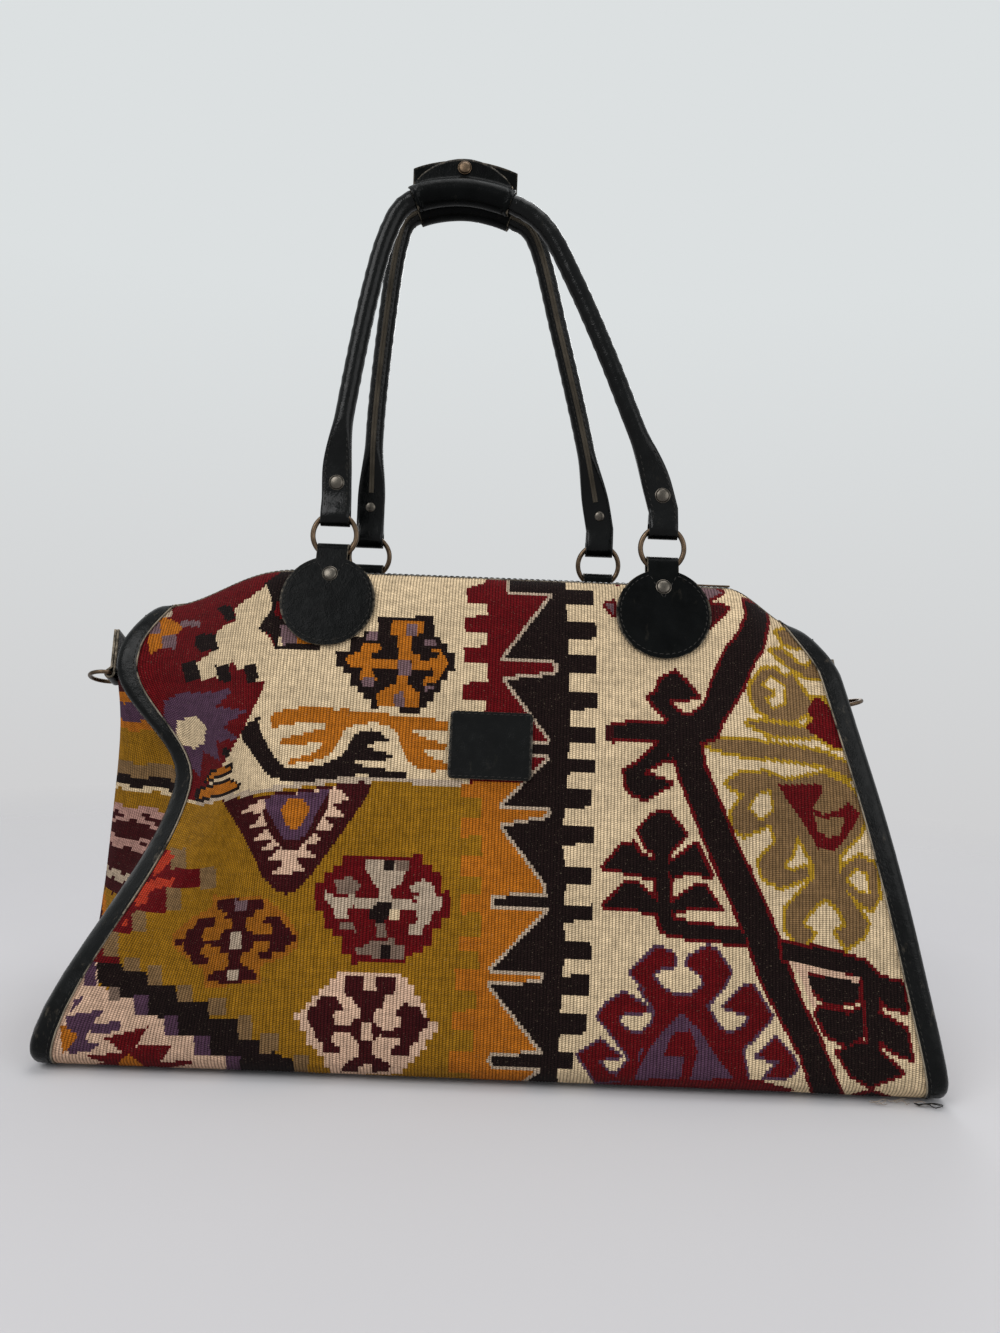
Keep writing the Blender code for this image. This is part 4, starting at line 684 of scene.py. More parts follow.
def washer_lift(origin, up, out, side):
    """How far a chape has to stand off a more bowed face, so that its rivet's washer clears it."""
    spot = origin + up * (CHAPE_RIVET_HEIGHT - RIVET_HEAD / 2)
    face = Vector((0.0, side * face_depth(spot.z), spot.z))
    washer = 1.5 * STRAP_THICKNESS + 2 * GAP + WASHER_THICKNESS
    return max((face - Vector((0.0, spot.y, spot.z))).dot(out) + washer, 0.0)


def chape_matrix(x, drop, side):
    origin, up, out = chape_frame(x, drop, side)
    return frame_matrix(origin, Vector((1.0, 0.0, 0.0)), out, up)


def chape_loop(x, drop, side):
    """The middle of a chape's loop, which the ring turns about."""
    origin, up, out = chape_frame(x, drop, side)
    inner = loop_fit(CHAPE_TAB_WIDTH)[0]
    return origin + up * CHAPE_LOOP_HEIGHT - out * (inner + STRAP_THICKNESS / 2)


def handle_lean(loop, side):
    """The angle at which ring and handle lean in, so that the tops of the keepers just meet."""
    wrap = HANDLE_DIAMETER / 2 + KEEPER_FIT + KEEPER_THICKNESS
    lean = 0.0
    for _ in range(4):
        tube_y = side * (wrap + KEEPER_RISE * math.sin(abs(lean)) + GAP)
        lean = math.atan2(tube_y - loop.y, PEAK_HEIGHT - loop.z)
    return lean


def ring_to_eye():
    """How far the handle's eye lies from the chape's loop, along the ring."""
    return loop_fit(CHAPE_TAB_WIDTH)[1] + loop_fit(HANDLE_END_WIDTH)[1]


def fitted_arch(arch, drawn_peak, peak):
    """An arch whose part above the flat ends stretches from its drawn peak to the real one."""
    stretch = (peak.y - ARCH_START) / (drawn_peak - ARCH_START)
    return [(dx, height + max(height - ARCH_START, 0.0) * (stretch - 1.0)) for dx, height in arch]


def handle_line(arches, ends, peak):
    """The handle's middle line in its own plane, from the left eye to the right one."""
    left, right = arches
    points = [Vector((ends[0] + dx, height)) for dx, height in left]
    points += [Vector((peak.x - CROWN_HALF, peak.y - CROWN_SAG)), peak,
               Vector((peak.x + CROWN_HALF, peak.y - CROWN_SAG))]
    points += [Vector((ends[1] - dx, height)) for dx, height in reversed(right)]
    return catmull(points, [16] * (len(points) - 1))


def run_lengths(line):
    """The length of a line up to each of its points."""
    lengths = [0.0]
    for start, end in zip(line, line[1:]):
        lengths.append(lengths[-1] + (end - start).length)
    return lengths


def points_at(line, targets):
    """Points of a line at the given lengths along it."""
    lengths = run_lengths(line)
    points = []
    index = 0
    for target in targets:
        while index < len(line) - 2 and lengths[index + 1] < target:
            index += 1
        span = lengths[index + 1] - lengths[index]
        points.append(line[index].lerp(line[index + 1], (target - lengths[index]) / span))
    return points


def resample(line, count):
    total = run_lengths(line)[-1]
    return points_at(line, [total * step / count for step in range(count + 1)])


def handle_stations(line, peak):
    """Stations along the handle, closer together under the keeper, where it bends most."""
    lengths = run_lengths(line)
    middle = lengths[min(range(len(line)), key=lambda i: (line[i] - peak).length)]
    zone = KEEPER_HALF_LENGTH * 1.25
    total = lengths[-1]
    before = round(HANDLE_STEPS * (middle - zone) / total)
    after = round(HANDLE_STEPS * (total - middle - zone) / total)
    targets = [(middle - zone) * step / before for step in range(before)]
    targets += [middle - zone + 2.0 * zone * step / CROWN_FINE_STEPS
                for step in range(CROWN_FINE_STEPS)]
    targets += [mix(middle + zone, total, step / after) for step in range(after + 1)]
    return points_at(line, targets)


def handle_section(height):
    """Half width, half thickness and squareness of the handle, a distance up from its eye."""
    eye = loop_fit(HANDLE_END_WIDTH)[0] + HANDLE_EYE_WALL
    tube = HANDLE_DIAMETER / 2
    tab = HANDLE_TAB_THICKNESS / 2
    if height < 0:
        low = math.sqrt(max(eye * eye - height * height, 0.0))
        return HANDLE_END_WIDTH / 2, max(low, 0.0012), 7.0
    neck = smooth_step((height - HANDLE_NECK_START) / (HANDLE_NECK_END - HANDLE_NECK_START))
    thick = mix(eye, tab, smooth_step(height / (2.4 * eye)))
    return (mix(HANDLE_END_WIDTH / 2, tube, neck), mix(thick, tube, neck), mix(7.0, 2.0, neck))


def section_ring(half_width, half_thickness, squareness):
    ring = []
    for step in range(TUBE_SIDES):
        turn = 2.0 * math.pi * (step + 0.5) / TUBE_SIDES
        wide = abs(math.cos(turn)) ** (2.0 / squareness)
        thick = abs(math.sin(turn)) ** (2.0 / squareness)
        ring.append((math.copysign(half_width * wide, math.cos(turn)),
                     math.copysign(half_thickness * thick, math.sin(turn))))
    return ring


def keeper_layers():
    """The keeper's inner and outer layers in (depth, rise), both from under the tube."""
    inner = HANDLE_DIAMETER / 2 + KEEPER_FIT + KEEPER_THICKNESS / 2
    flat = inner - KEEPER_THICKNESS - GAP
    near = [Vector((inner * math.cos(turn), -inner * math.sin(turn)))
            for turn in [math.radians(degrees) for degrees in range(90, -1, -10)]]
    near.append(Vector((inner, KEEPER_RISE)))
    far = [Vector((inner * math.cos(math.radians(degrees)), -inner * math.sin(math.radians(degrees))))
           for degrees in range(90, 241, 10)]
    slope = Vector((math.sin(math.radians(60)), math.cos(math.radians(60))))
    run = (flat - far[-1].x) / slope.x
    far.append(far[-1] + slope * run * 0.85)
    far.append(Vector((flat, far[-2].y + slope.y * run * 1.25)))
    far.append(Vector((flat, KEEPER_RISE)))
    return near, far


def face_spot(x, z, out):
    """A point off the front face at a final x and height, a distance out along its normal."""
    straight = x + LEAN * z
    here = body_point(straight, -face_depth(z), z)
    above = body_point(straight, -face_depth(z + NEAR), z + NEAR)
    beside = body_point(straight + NEAR, -face_depth(z), z)
    normal = (beside - here).cross(above - here).normalized()
    return here + normal * out


def end_frame(side):
    """Origin and axes on the middle line of a gusset, where the strap ring's tab is sewn."""
    def spot(y, z):
        reach = half_length(z) + GUSSET_BULGE
        return body_point(side * reach, y, z)
    high = DRING_HEIGHT * BODY_HEIGHT / (BODY_HEIGHT - RIDGE_DROP)
    up = (spot(0.0, high + NEAR) - spot(0.0, high - NEAR)).normalized()
    across = (spot(NEAR, high) - spot(-NEAR, high)).normalized()
    out = up.cross(across).normalized()
    if out.x * side < 0:
        out = -out
    return spot(0.0, high), up, out, out.cross(up)


# Settings that a user may change

def srgb(red, green, blue):
    """A colour written as it looks on screen, 0 to 255, as linear light."""
    def channel(value):
        value /= 255.0
        return value / 12.92 if value <= 0.04045 else ((value + 0.055) / 1.055) ** 2.4
    return channel(red), channel(green), channel(blue)


def yarn(label, red, green, blue):
    return bpy.props.FloatVectorProperty(name=label, description=f"Colour of the {label.lower()}",
                                         subtype="COLOR", size=3, min=0.0, max=1.0,
                                         default=srgb(red, green, blue))


def length(label, text, value):
    return bpy.props.FloatProperty(name=label, description=text, default=value, min=0.0, unit="LENGTH",
                                   precision=5)


class DuffleColours(bpy.types.PropertyGroup):
    """The colours of the yarns, the leather and the thread."""
    cream: yarn("Cream yarn", 184, 163, 131)
    pale: yarn("Pale grey yarn", 152, 135, 116)
    pale_pink: yarn("Pale pink yarn", 180, 149, 126)
    pink: yarn("Pink yarn", 150, 114, 104)
    olive: yarn("Olive yarn", 123, 86, 17)
    mustard: yarn("Mustard yarn", 146, 114, 28)
    orange: yarn("Orange yarn", 146, 84, 20)
    gold: yarn("Dull gold yarn", 130, 78, 20)
    orange_red: yarn("Orange red yarn", 146, 44, 26)
    dark_red: yarn("Dark red yarn", 79, 8, 12)
    maroon: yarn("Maroon yarn", 48, 11, 13)
    dark_brown: yarn("Dark brown yarn", 22, 13, 12)
    purple: yarn("Purple yarn", 68, 46, 62)
    lilac: yarn("Lilac yarn", 94, 73, 76)
    taupe: yarn("Taupe yarn", 106, 82, 54)
    grey: yarn("Grey yarn", 104, 86, 74)
    leather: yarn("Leather", 8, 9, 9)
    raw_edge: yarn("Raw leather edge", 132, 122, 106)
    thread: yarn("Thread", 32, 31, 29)
    brass: yarn("Antique brass", 98, 82, 66)
    nickel: yarn("Aged nickel", 92, 87, 80)


class DuffleSizes(bpy.types.PropertyGroup):
    """The sizes of the weave and of the sewing."""
    rib_pitch: length("Rib pitch", "Distance between two ribs of the kilim", 0.00212)
    rib_height: length("Rib height", "Height of a rib above the valleys", 0.00050)
    weft_pitch: length("Weft pitch", "Distance between two rows of weft yarn", 0.00135)
    stitch_pitch: length("Stitch pitch", "Distance from one stitch to the next", 0.0041)
    stitch_length: length("Stitch length", "Visible length of a stitch", 0.0029)
    stitch_width: length("Stitch width", "Thickness of the sewing thread", 0.00085)
    tooth_pitch: length("Zip tooth pitch", "Distance between two teeth of one side", 0.0026)


def colours():
    return bpy.context.scene.duffle_colours


def sizes():
    return bpy.context.scene.duffle_sizes


# Materials

def shader(name, **values):
    """A new material with a Principled shader, whose sockets take the given values."""
    made = bpy.data.materials.new(name)
    made.use_nodes = True
    tree = made.node_tree
    surface = tree.nodes["Principled BSDF"]
    for socket, value in values.items():
        surface.inputs[socket.replace("_", " ")].default_value = value
    return made, tree, surface


def add_node(tree, kind, wires=(), **values):
    """A node whose attributes or sockets take the given values, wired from (socket, output)."""
    made = tree.nodes.new(kind)
    for key, value in values.items():
        if hasattr(made, key):
            setattr(made, key, value)
        else:
            made.inputs[key.replace("_", " ")].default_value = value
    for socket, output in wires:
        tree.links.new(output, made.inputs[socket])
    return made


def noise(tree, scale, detail=3.0, stretch=(1.0, 1.0, 1.0), roughness=0.5):
    """Noise in the object's own metres, stretched along its axes."""
    place = add_node(tree, "ShaderNodeTexCoord").outputs["Object"]
    mapping = add_node(tree, "ShaderNodeMapping", [("Vector", place)])
    mapping.inputs["Scale"].default_value = stretch
    return add_node(tree, "ShaderNodeTexNoise", [("Vector", mapping.outputs["Vector"])], Scale=scale,
                    Detail=detail, Roughness=roughness).outputs["Fac"]


def attribute(tree, name, output="Fac"):
    return add_node(tree, "ShaderNodeAttribute", attribute_name=name).outputs[output]


def ranged(tree, value, low, high, to_low, to_high):
    made = add_node(tree, "ShaderNodeMapRange", [("Value", value)])
    for socket, number in (("From Min", low), ("From Max", high), ("To Min", to_low), ("To Max", to_high)):
        made.inputs[socket].default_value = number
    return made.outputs["Result"]


def maths(tree, operation, first, second):
    made = add_node(tree, "ShaderNodeMath", operation=operation)
    for socket, value in zip(made.inputs, (first, second)):
        if isinstance(value, float):
            socket.default_value = value
        else:
            tree.links.new(value, socket)
    return made.outputs[0]


def blended(tree, kind, factor, first, second):
    """Two colours mixed, each a colour or an output."""
    made = add_node(tree, "ShaderNodeMix", data_type="RGBA", blend_type=kind)
    for socket, value in ((made.inputs[0], factor), (made.inputs[6], first), (made.inputs[7], second)):
        if isinstance(value, (float, tuple)):
            socket.default_value = value
        else:
            tree.links.new(value, socket)
    return made.outputs[2]


def opaque(colour, share=1.0):
    return tuple(channel * share for channel in colour[:3]) + (1.0,)


def bump(tree, surface, height, strength, distance, under=None):
    made = add_node(tree, "ShaderNodeBump", [("Height", height)], Strength=strength, Distance=distance)
    if under:
        tree.links.new(under, made.inputs["Normal"])
    tree.links.new(made.outputs["Normal"], surface.inputs["Normal"])
    return made.outputs["Normal"]


def grey_of(tree, value):
    """A number as a grey colour."""
    made = add_node(tree, "ShaderNodeCombineColor")
    for socket in made.inputs[:3]:
        tree.links.new(value, socket)
    return made.outputs[0]


@functools.cache
def kilim_finish():
    made, tree, surface = shader("kilim_wool", Roughness=0.95, Sheen_Weight=0.02, Sheen_Roughness=0.6,
                                 Specular_IOR_Level=0.04)
    colour = attribute(tree, "yarn", "Color")
    streaks = ranged(tree, noise(tree, 420.0, 3.0, (1.0, 1.0, 0.22)), 0.3, 0.7, 0.80, 1.20)
    rows = ranged(tree, noise(tree, 210.0, 2.0, (0.25, 0.25, 2.4)), 0.3, 0.7, 0.88, 1.12)
    clouds = ranged(tree, noise(tree, 14.0, 2.0), 0.3, 0.7, 0.92, 1.08)
    shade = maths(tree, "MULTIPLY", maths(tree, "MULTIPLY", streaks, rows), clouds)
    # Painted shade in the rib valleys and painted highlight on the rib crests, read from the rib attribute.
    rib_painted_shade = ranged(tree, attribute(tree, "rib"), 0.0, 0.6, 0.36, 1.22)
    shade = maths(tree, "MULTIPLY", shade, rib_painted_shade)
    # The weft wave drives the bump and also a painted highlight and painted shade across each weft bead.
    beads = maths(tree, "SINE", maths(tree, "MULTIPLY", attribute(tree, "weft"), 2.0 * math.pi), 0.0)
    shade = maths(tree, "MULTIPLY", shade, ranged(tree, beads, -1.0, 1.0, 0.68, 1.32))
    worn = ranged(tree, noise(tree, 1000.0, 2.0), 0.65, 0.77, 0.0, 0.24)
    colour = blended(tree, "MULTIPLY", 1.0, colour, grey_of(tree, shade))
    colour = blended(tree, "MIX", worn, colour, (0.36, 0.28, 0.19, 1.0))
    tree.links.new(colour, surface.inputs["Base Color"])
    fuzz = maths(tree, "MULTIPLY", noise(tree, 1500.0, 2.0), 0.8)
    bump(tree, surface, maths(tree, "ADD", maths(tree, "MULTIPLY", beads, 0.5), fuzz), 0.7, 0.00035)
    return made


def leather_finish(name, colour, roughness, wear, shine=0.05, scuff=0.05, crease=0.35):
    """Grained leather, with its edges rubbed where the attribute wear is high."""
    made, tree, surface = shader(name, Specular_IOR_Level=shine)
    mottled = ranged(tree, noise(tree, 60.0, 4.0), 0.3, 0.7, 0.70, 1.35)
    base = blended(tree, "MULTIPLY", 1.0, opaque(colour), grey_of(tree, mottled))
    patches = ranged(tree, noise(tree, 240.0, 5.0, roughness=0.65), 0.42, 0.66, 0.0, 1.0)
    rubbed = maths(tree, "MULTIPLY", ranged(tree, attribute(tree, "wear"), 0.15, 1.0, 0.0, wear), patches)
    scuffs = ranged(tree, noise(tree, 130.0, 6.0, (1.0, 1.0, 0.35), 0.7), 0.60, 0.78, 0.0, scuff)
    worn = maths(tree, "MAXIMUM", rubbed, scuffs)
    base = blended(tree, "MIX", worn, base, opaque(colours().raw_edge))
    tree.links.new(base, surface.inputs["Base Color"])
    uneven = ranged(tree, noise(tree, 170.0, 3.0), 0.3, 0.7, roughness - 0.08, roughness + 0.14)
    tree.links.new(uneven, surface.inputs["Roughness"])
    place = add_node(tree, "ShaderNodeTexCoord").outputs["Object"]
    cells = add_node(tree, "ShaderNodeTexVoronoi", [("Vector", place)], feature="SMOOTH_F1",
                     Scale=1150.0).outputs["Distance"]
    grain = bump(tree, surface, cells, 0.35, 0.00025)
    bump(tree, surface, noise(tree, 95.0, 4.0), crease, 0.0012, grain)
    return made


@functools.cache
def leather():
    return leather_finish("bag_leather", colours().leather, 0.23, 0.55, 0.035)


@functools.cache
def binding_leather():
    return leather_finish("binding_leather", colours().leather, 0.26, 1.0, 0.10, 0.30, 0.60)


@functools.cache
def handle_leather():
    return leather_finish("handle_leather", opaque(colours().leather, 0.8), 0.17, 0.4, 0.13)


@functools.cache
def raw_edge():
    return leather_finish("raw_leather_edge", opaque(colours().raw_edge, 0.24), 0.78, 1.0)


@functools.cache
def worn_edge():
    """A cut edge whose black has rubbed off in places."""
    made, tree, surface = shader("worn_leather_edge", Roughness=0.8, Specular_IOR_Level=0.05)
    rubbed = ranged(tree, noise(tree, 38.0, 5.0, roughness=0.72), 0.37, 0.53, 0.0, 1.0)
    tree.links.new(blended(tree, "MIX", rubbed, opaque(colours().leather, 2.0), opaque(colours().raw_edge)),
                   surface.inputs["Base Color"])
    bump(tree, surface, noise(tree, 900.0, 3.0), 0.6, 0.0003)
    return made


@functools.cache
def thread():
    made, tree, surface = shader("waxed_thread", Roughness=0.6, Specular_IOR_Level=0.12)
    twist = ranged(tree, noise(tree, 1800.0, 2.0), 0.3, 0.7, 0.6, 1.5)
    tree.links.new(blended(tree, "MULTIPLY", 1.0, opaque(colours().thread), grey_of(tree, twist)),
                   surface.inputs["Base Color"])
    bump(tree, surface, noise(tree, 2400.0, 2.0), 0.6, 0.0003)
    return made


@functools.cache
def loose_yarn():
    made, tree, surface = shader("loose_yarn", Roughness=0.9, Sheen_Weight=0.3)
    fibre = ranged(tree, noise(tree, 1600.0, 3.0), 0.3, 0.7, 0.6, 1.2)
    tree.links.new(blended(tree, "MULTIPLY", 1.0, opaque(colours().pale), grey_of(tree, fibre)),
                   surface.inputs["Base Color"])
    return made


@functools.cache
def zip_tape():
    made, tree, surface = shader("zip_tape_cloth", Roughness=0.88, Sheen_Weight=0.1)
    place = add_node(tree, "ShaderNodeTexCoord").outputs["Object"]
    wave = add_node(tree, "ShaderNodeTexWave", [("Vector", place)], bands_direction="DIAGONAL",
                    Scale=420.0, Distortion=0.4)
    twill = wave.outputs["Fac"]
    dark = blended(tree, "MIX", twill, (0.006, 0.006, 0.007, 1.0), (0.022, 0.021, 0.020, 1.0))
    tree.links.new(dark, surface.inputs["Base Color"])
    bump(tree, surface, twill, 0.5, 0.0002)
    return made


def metal_finish(name, colour, roughness, tarnish):
    """Plated metal, dulled in clouds, finely scratched and darker in its pits."""
    made, tree, surface = shader(name, Metallic=1.0)
    clouds = ranged(tree, noise(tree, 190.0, 5.0, roughness=0.6), 0.35, 0.68, 0.0, tarnish)
    pits = ranged(tree, noise(tree, 900.0, 3.0), 0.62, 0.74, 0.0, 0.55)
    dull = maths(tree, "MAXIMUM", clouds, pits)
    base = blended(tree, "MIX", dull, opaque(colour), opaque(colour, 0.34))
    tree.links.new(base, surface.inputs["Base Color"])
    tree.links.new(ranged(tree, dull, 0.0, 1.0, roughness, roughness + 0.24), surface.inputs["Roughness"])
    scratches = noise(tree, 700.0, 4.0, (1.0, 1.0, 0.15))
    bump(tree, surface, scratches, 0.25, 0.0002)
    return made


@functools.cache
def brass():
    return metal_finish("antique_brass_metal", colours().brass, 0.30, 0.75)


@functools.cache
def nickel():
    return metal_finish("aged_nickel_metal", colours().nickel, 0.26, 0.55)


# The camera of the photograph

FOCAL_PX = 969.0
CENTRE_PX = (500.0, 666.0)
LONG_SIDE_PX = 1333.0
SENSOR_MM = 36.0
CAMERA_AT = Vector((-0.004, -0.707, 0.265))
CAMERA_ROLL = math.radians(2.3)


def in_photo(points):
    """Where points, given as rows of x, y and z, show in the photograph."""
    x = points[:, 0] - CAMERA_AT.x
    depth = points[:, 1] - CAMERA_AT.y
    z = points[:, 2] - CAMERA_AT.z
    right = x * math.cos(CAMERA_ROLL) + z * math.sin(CAMERA_ROLL)
    up = z * math.cos(CAMERA_ROLL) - x * math.sin(CAMERA_ROLL)
    return CENTRE_PX[0] + FOCAL_PX * right / depth, CENTRE_PX[1] - FOCAL_PX * up / depth


# Weaving the pattern

YARNS = ("cream", "pale", "pale_pink", "pink", "olive", "mustard", "orange", "gold", "orange_red",
         "dark_red", "maroon", "dark_brown", "purple", "lilac", "taupe", "grey")
RIB_PROFILE = (0.0, 1.0)
FRONT_ROWS = 168
BASE_SKIN_ROWS = 26
END_ROWS = 120
UNDER_BINDING = 0.0050
END_UNDER_BINDING = 0.0035
FIELD_LINE_REACH = 2.4
WEAVE_MERGE = 0.000004
NO_LENGTH = 1e-12
END_RAGGED = 0.0012


def corner_points(corners):
    return list(zip(corners[::2], corners[1::2]))


def inside(x, y, corners):
    """Which places lie inside a shape."""
    if len(corners) == 4:
        left, top, right, low = corners
        return (x >= left) & (x < right) & (y >= top) & (y < low)
    held = np.zeros(len(x), dtype=bool)
    points = corner_points(corners)
    for (ax, ay), (bx, by) in zip(points, points[1:] + points[:1]):
        if ay != by:
            held ^= ((ay > y) != (by > y)) & (x < ax + (y - ay) * (bx - ax) / (by - ay))
    return held


def close_to(x, y, points, reach):
    """Which places lie within a reach of a broken line."""
    held = np.zeros(len(x), dtype=bool)
    for (ax, ay), (bx, by) in zip(points, points[1:]):
        run_x = bx - ax
        run_y = by - ay
        share = np.clip(((x - ax) * run_x + (y - ay) * run_y) / (run_x ** 2 + run_y ** 2), 0.0, 1.0)
        held |= np.hypot(x - ax - share * run_x, y - ay - share * run_y) < reach
    return held


def stepped(values, step):
    """Places moved to the middle of steps, which gives a shape a stepped outline."""
    return (np.floor(values / step) + 0.5) * step


def weave_in(cloth, x, y, shapes, edge=None):
    """Weaves shapes into the cloth, which holds the number of a yarn for each place."""
    for shape in shapes if edge else ():
        points = corner_points(shape[1:])
        if len(points) > 2:
            cloth[close_to(x, y, points + points[:1], edge[1])] = YARNS.index(edge[0])
    for shape in shapes:
        cloth[inside(x, y, shape[1:])] = YARNS.index(shape[0])


def zigzag_shape():
    corners = list(ZIGZAG)
    for top, low, tooth, gap in COMB:
        corners += [gap, low, tooth, low, tooth, top, gap, top]
    return ("dark_brown",) + tuple(corners) + COMB_TOP


def front_cloth(x, y):
    """The yarn at each place of the front."""
    cloth = np.full(len(x), YARNS.index("cream"))
    weave_in(cloth, x, y, [OLIVE_FIELD])
    cloth[close_to(x, y, corner_points(FIELD_LINE), FIELD_LINE_REACH)] = YARNS.index("pale")
    for shapes in (SHOULDER, STEPS, LOWER_LEFT, TRIANGLE, BRANCHES):
        weave_in(cloth, x, y, shapes)
    for hexagon, step in ((HEXAGON_HIGH, 7.0), (HEXAGON_MID, 9.0), (HEXAGON_LOW, 6.0)):
        weave_in(cloth, stepped(x, step), stepped(y, step), hexagon[:1])
        weave_in(cloth, x, y, hexagon[1:])
    weave_in(cloth, x, y, CROSS)
    weave_in(cloth, x, y, MIDDLE_COLUMN)
    line = corner_points(ZIGZAG)
    cloth[close_to(x, y, line, OUTLINED["zigzag"][1])] = YARNS.index(OUTLINED["zigzag"][0])
    weave_in(cloth, x, y, [zigzag_shape()])
    weave_in(cloth, x, y, CROWNED_HOOKS[:4], OUTLINED["hooks"])
    weave_in(cloth, x, y, CROWNED_HOOKS)
    for shapes, edge in ((SCROLLS, "scrolls"), (SCROLL_EYES, "eyes"), (DIAGONAL, "diagonal"),
                         (LEAVES[1:], "diagonal")):
        weave_in(cloth, x, y, shapes, OUTLINED[edge])
    weave_in(cloth, x, y, LEAVES)
    return cloth


def end_cloth(points):
    """The yarn at each place of an end panel: bands by height, with diamonds on some of them."""
    cloth = np.full(len(points), YARNS.index("maroon"))
    ragged = np.sin(points[:, 1] * 420.0) * END_RAGGED
    height = points[:, 2] + ragged
    for low, colour in END_BANDS:
        cloth[height >= low] = YARNS.index(colour)
    for middle, half_width, half_height, colour in END_DIAMONDS:
        held = np.abs(points[:, 1]) / half_width + np.abs(points[:, 2] - middle) / half_height < 1.0
        cloth[held] = YARNS.index(colour)
    return cloth


def outward_normals(skin, outward):
    """Unit normals of a grid of points, and where the grid has none because columns are gathered."""
    across = np.gradient(skin, axis=1)
    along = np.gradient(skin, axis=0)
    normals = np.cross(across, along)
    lengths = np.linalg.norm(normals, axis=2, keepdims=True)
    gathered = lengths[..., 0] < NO_LENGTH
    normals = np.where(lengths < NO_LENGTH, 0.0, normals / np.maximum(lengths, NO_LENGTH))
    if np.sum(normals * outward) < 0:
        normals = -normals
    return normals, gathered


def woven(name, skin, cloth, weft, outward):
    """A ribbed skin from a grid of points, with a yarn for each half rib of each row."""
    rows, columns = skin.shape[:2]
    normals, gathered = outward_normals(skin, np.array(outward))
    ribs = np.tile(np.resize(RIB_PROFILE, columns), (rows, 1))
    # Gathered points lie at valley height, so they also take the darkest painted rib shade.
    ribs[gathered] = 0.0
    wander = random.Random(name)
    sway = np.array([wander.uniform(0.75, 1.15) for _ in range(columns // len(RIB_PROFILE) + 1)])
    uneven = np.repeat(sway, len(RIB_PROFILE))[:columns]
    height = (ribs * uneven - 1.0) * sizes().rib_height
    verts = (skin + normals * height[..., None]).reshape(-1, 3)
    index = np.arange(rows * columns).reshape(rows, columns)
    quads = np.stack([index[:-1, :-1], index[:-1, 1:], index[1:, 1:], index[1:, :-1]], axis=2)
    flip = np.sum(np.cross(skin[1:, :-1] - skin[:-1, :-1], skin[:-1, 1:] - skin[:-1, :-1])
                  * normals[:-1, :-1]) > 0
    if flip:
        quads = quads[..., ::-1]
    wide = np.linalg.norm(skin[:, 1:] - skin[:, :-1], axis=2) > 1e-6
    kept = wide[:-1] | wide[1:]
    mesh = bpy.data.meshes.new(name)
    mesh.from_pydata(verts.tolist(), [], quads[kept].tolist())
    mesh.shade_smooth()
    tones = np.array([opaque(getattr(colours(), yarn)) for yarn in YARNS])
    tone = mesh.color_attributes.new("yarn", "FLOAT_COLOR", "CORNER")
    tone.data.foreach_set("color", np.repeat(tones[cloth[kept]], 4, axis=0).ravel())
    # The rib attribute feeds the kilim's painted rib shade and highlight; the weft attribute feeds its
    # painted bead shade and its bump.
    for label, values in (("rib", ribs), ("weft", weft)):
        layer = mesh.attributes.new(label, "FLOAT", "POINT")
        layer.data.foreach_set("value", values.ravel())
    places = np.stack(np.meshgrid(np.linspace(0.0, 1.0, columns), np.linspace(0.0, 1.0, rows)), axis=2)
    chart = mesh.uv_layers.new(name="OFBake")
    chart.data.foreach_set("uv", places.reshape(-1, 2)[quads[kept].ravel()].ravel())
    merge_gathered(mesh, gathered.ravel())
    return add_piece(name, mesh, kilim_finish())


def merge_gathered(mesh, gathered):
    """Joins the points that were gathered at the panel's edge."""
    bm = bmesh.new()
    bm.from_mesh(mesh)
    bm.verts.ensure_lookup_table()
    edge = {bm.verts[number] for number in np.flatnonzero(gathered)}
    edge |= {vert for face_edge in bm.edges if face_edge.is_boundary for vert in face_edge.verts}
    bmesh.ops.remove_doubles(bm, verts=list(edge), dist=WEAVE_MERGE)
    loose = [vert for vert in bm.verts if not vert.link_faces]
    bmesh.ops.delete(bm, geom=loose, context="VERTS")
    bm.to_mesh(mesh)
    bm.free()


def rib_columns(reach):
    """Places of the columns, two to a rib, from one side to the other and a rib further."""
    pitch = sizes().rib_pitch
    widest = reach + pitch
    count = math.ceil(2.0 * widest / pitch) * len(RIB_PROFILE)
    return [-widest + step * pitch / len(RIB_PROFILE) for step in range(count + 1)]


def staggered(weft, columns):
    """Weft rows that stand half a row higher from one rib to the next."""
    return weft[:, None] + 0.5 * np.arange(len(columns))[None, :] / len(RIB_PROFILE)


def panel_skin(outline):
    """The grid of points of the woven panel along rows of its outline, and its weft rows."""
    skin = []
    columns = rib_columns(panel_reach(0.0) + UNDER_BINDING)
    for point in outline:
        reach = panel_reach(point.y) + UNDER_BINDING
        row = [min(max(x + LEAN * point.y, -reach), reach) for x in columns]
        skin.append([tuple(body_point(x, point.x, point.y)) for x in row])
    return np.array(skin), staggered(np.array(run_lengths(outline)) / sizes().weft_pitch, columns)


def cell_centres(skin):
    """The middle of each half rib of each row."""
    rows = 0.5 * (skin[:-1] + skin[1:])
    return 0.5 * (rows[:, :-1] + rows[:, 1:])


def face_outline(rows):
    """The outline from the mouth's edge down the front to the flat of the base."""
    line = [Vector((-point.x, point.y)) for point in reversed(catmull(outline_guides(), [24] * 9))]
    return resample(line, rows)


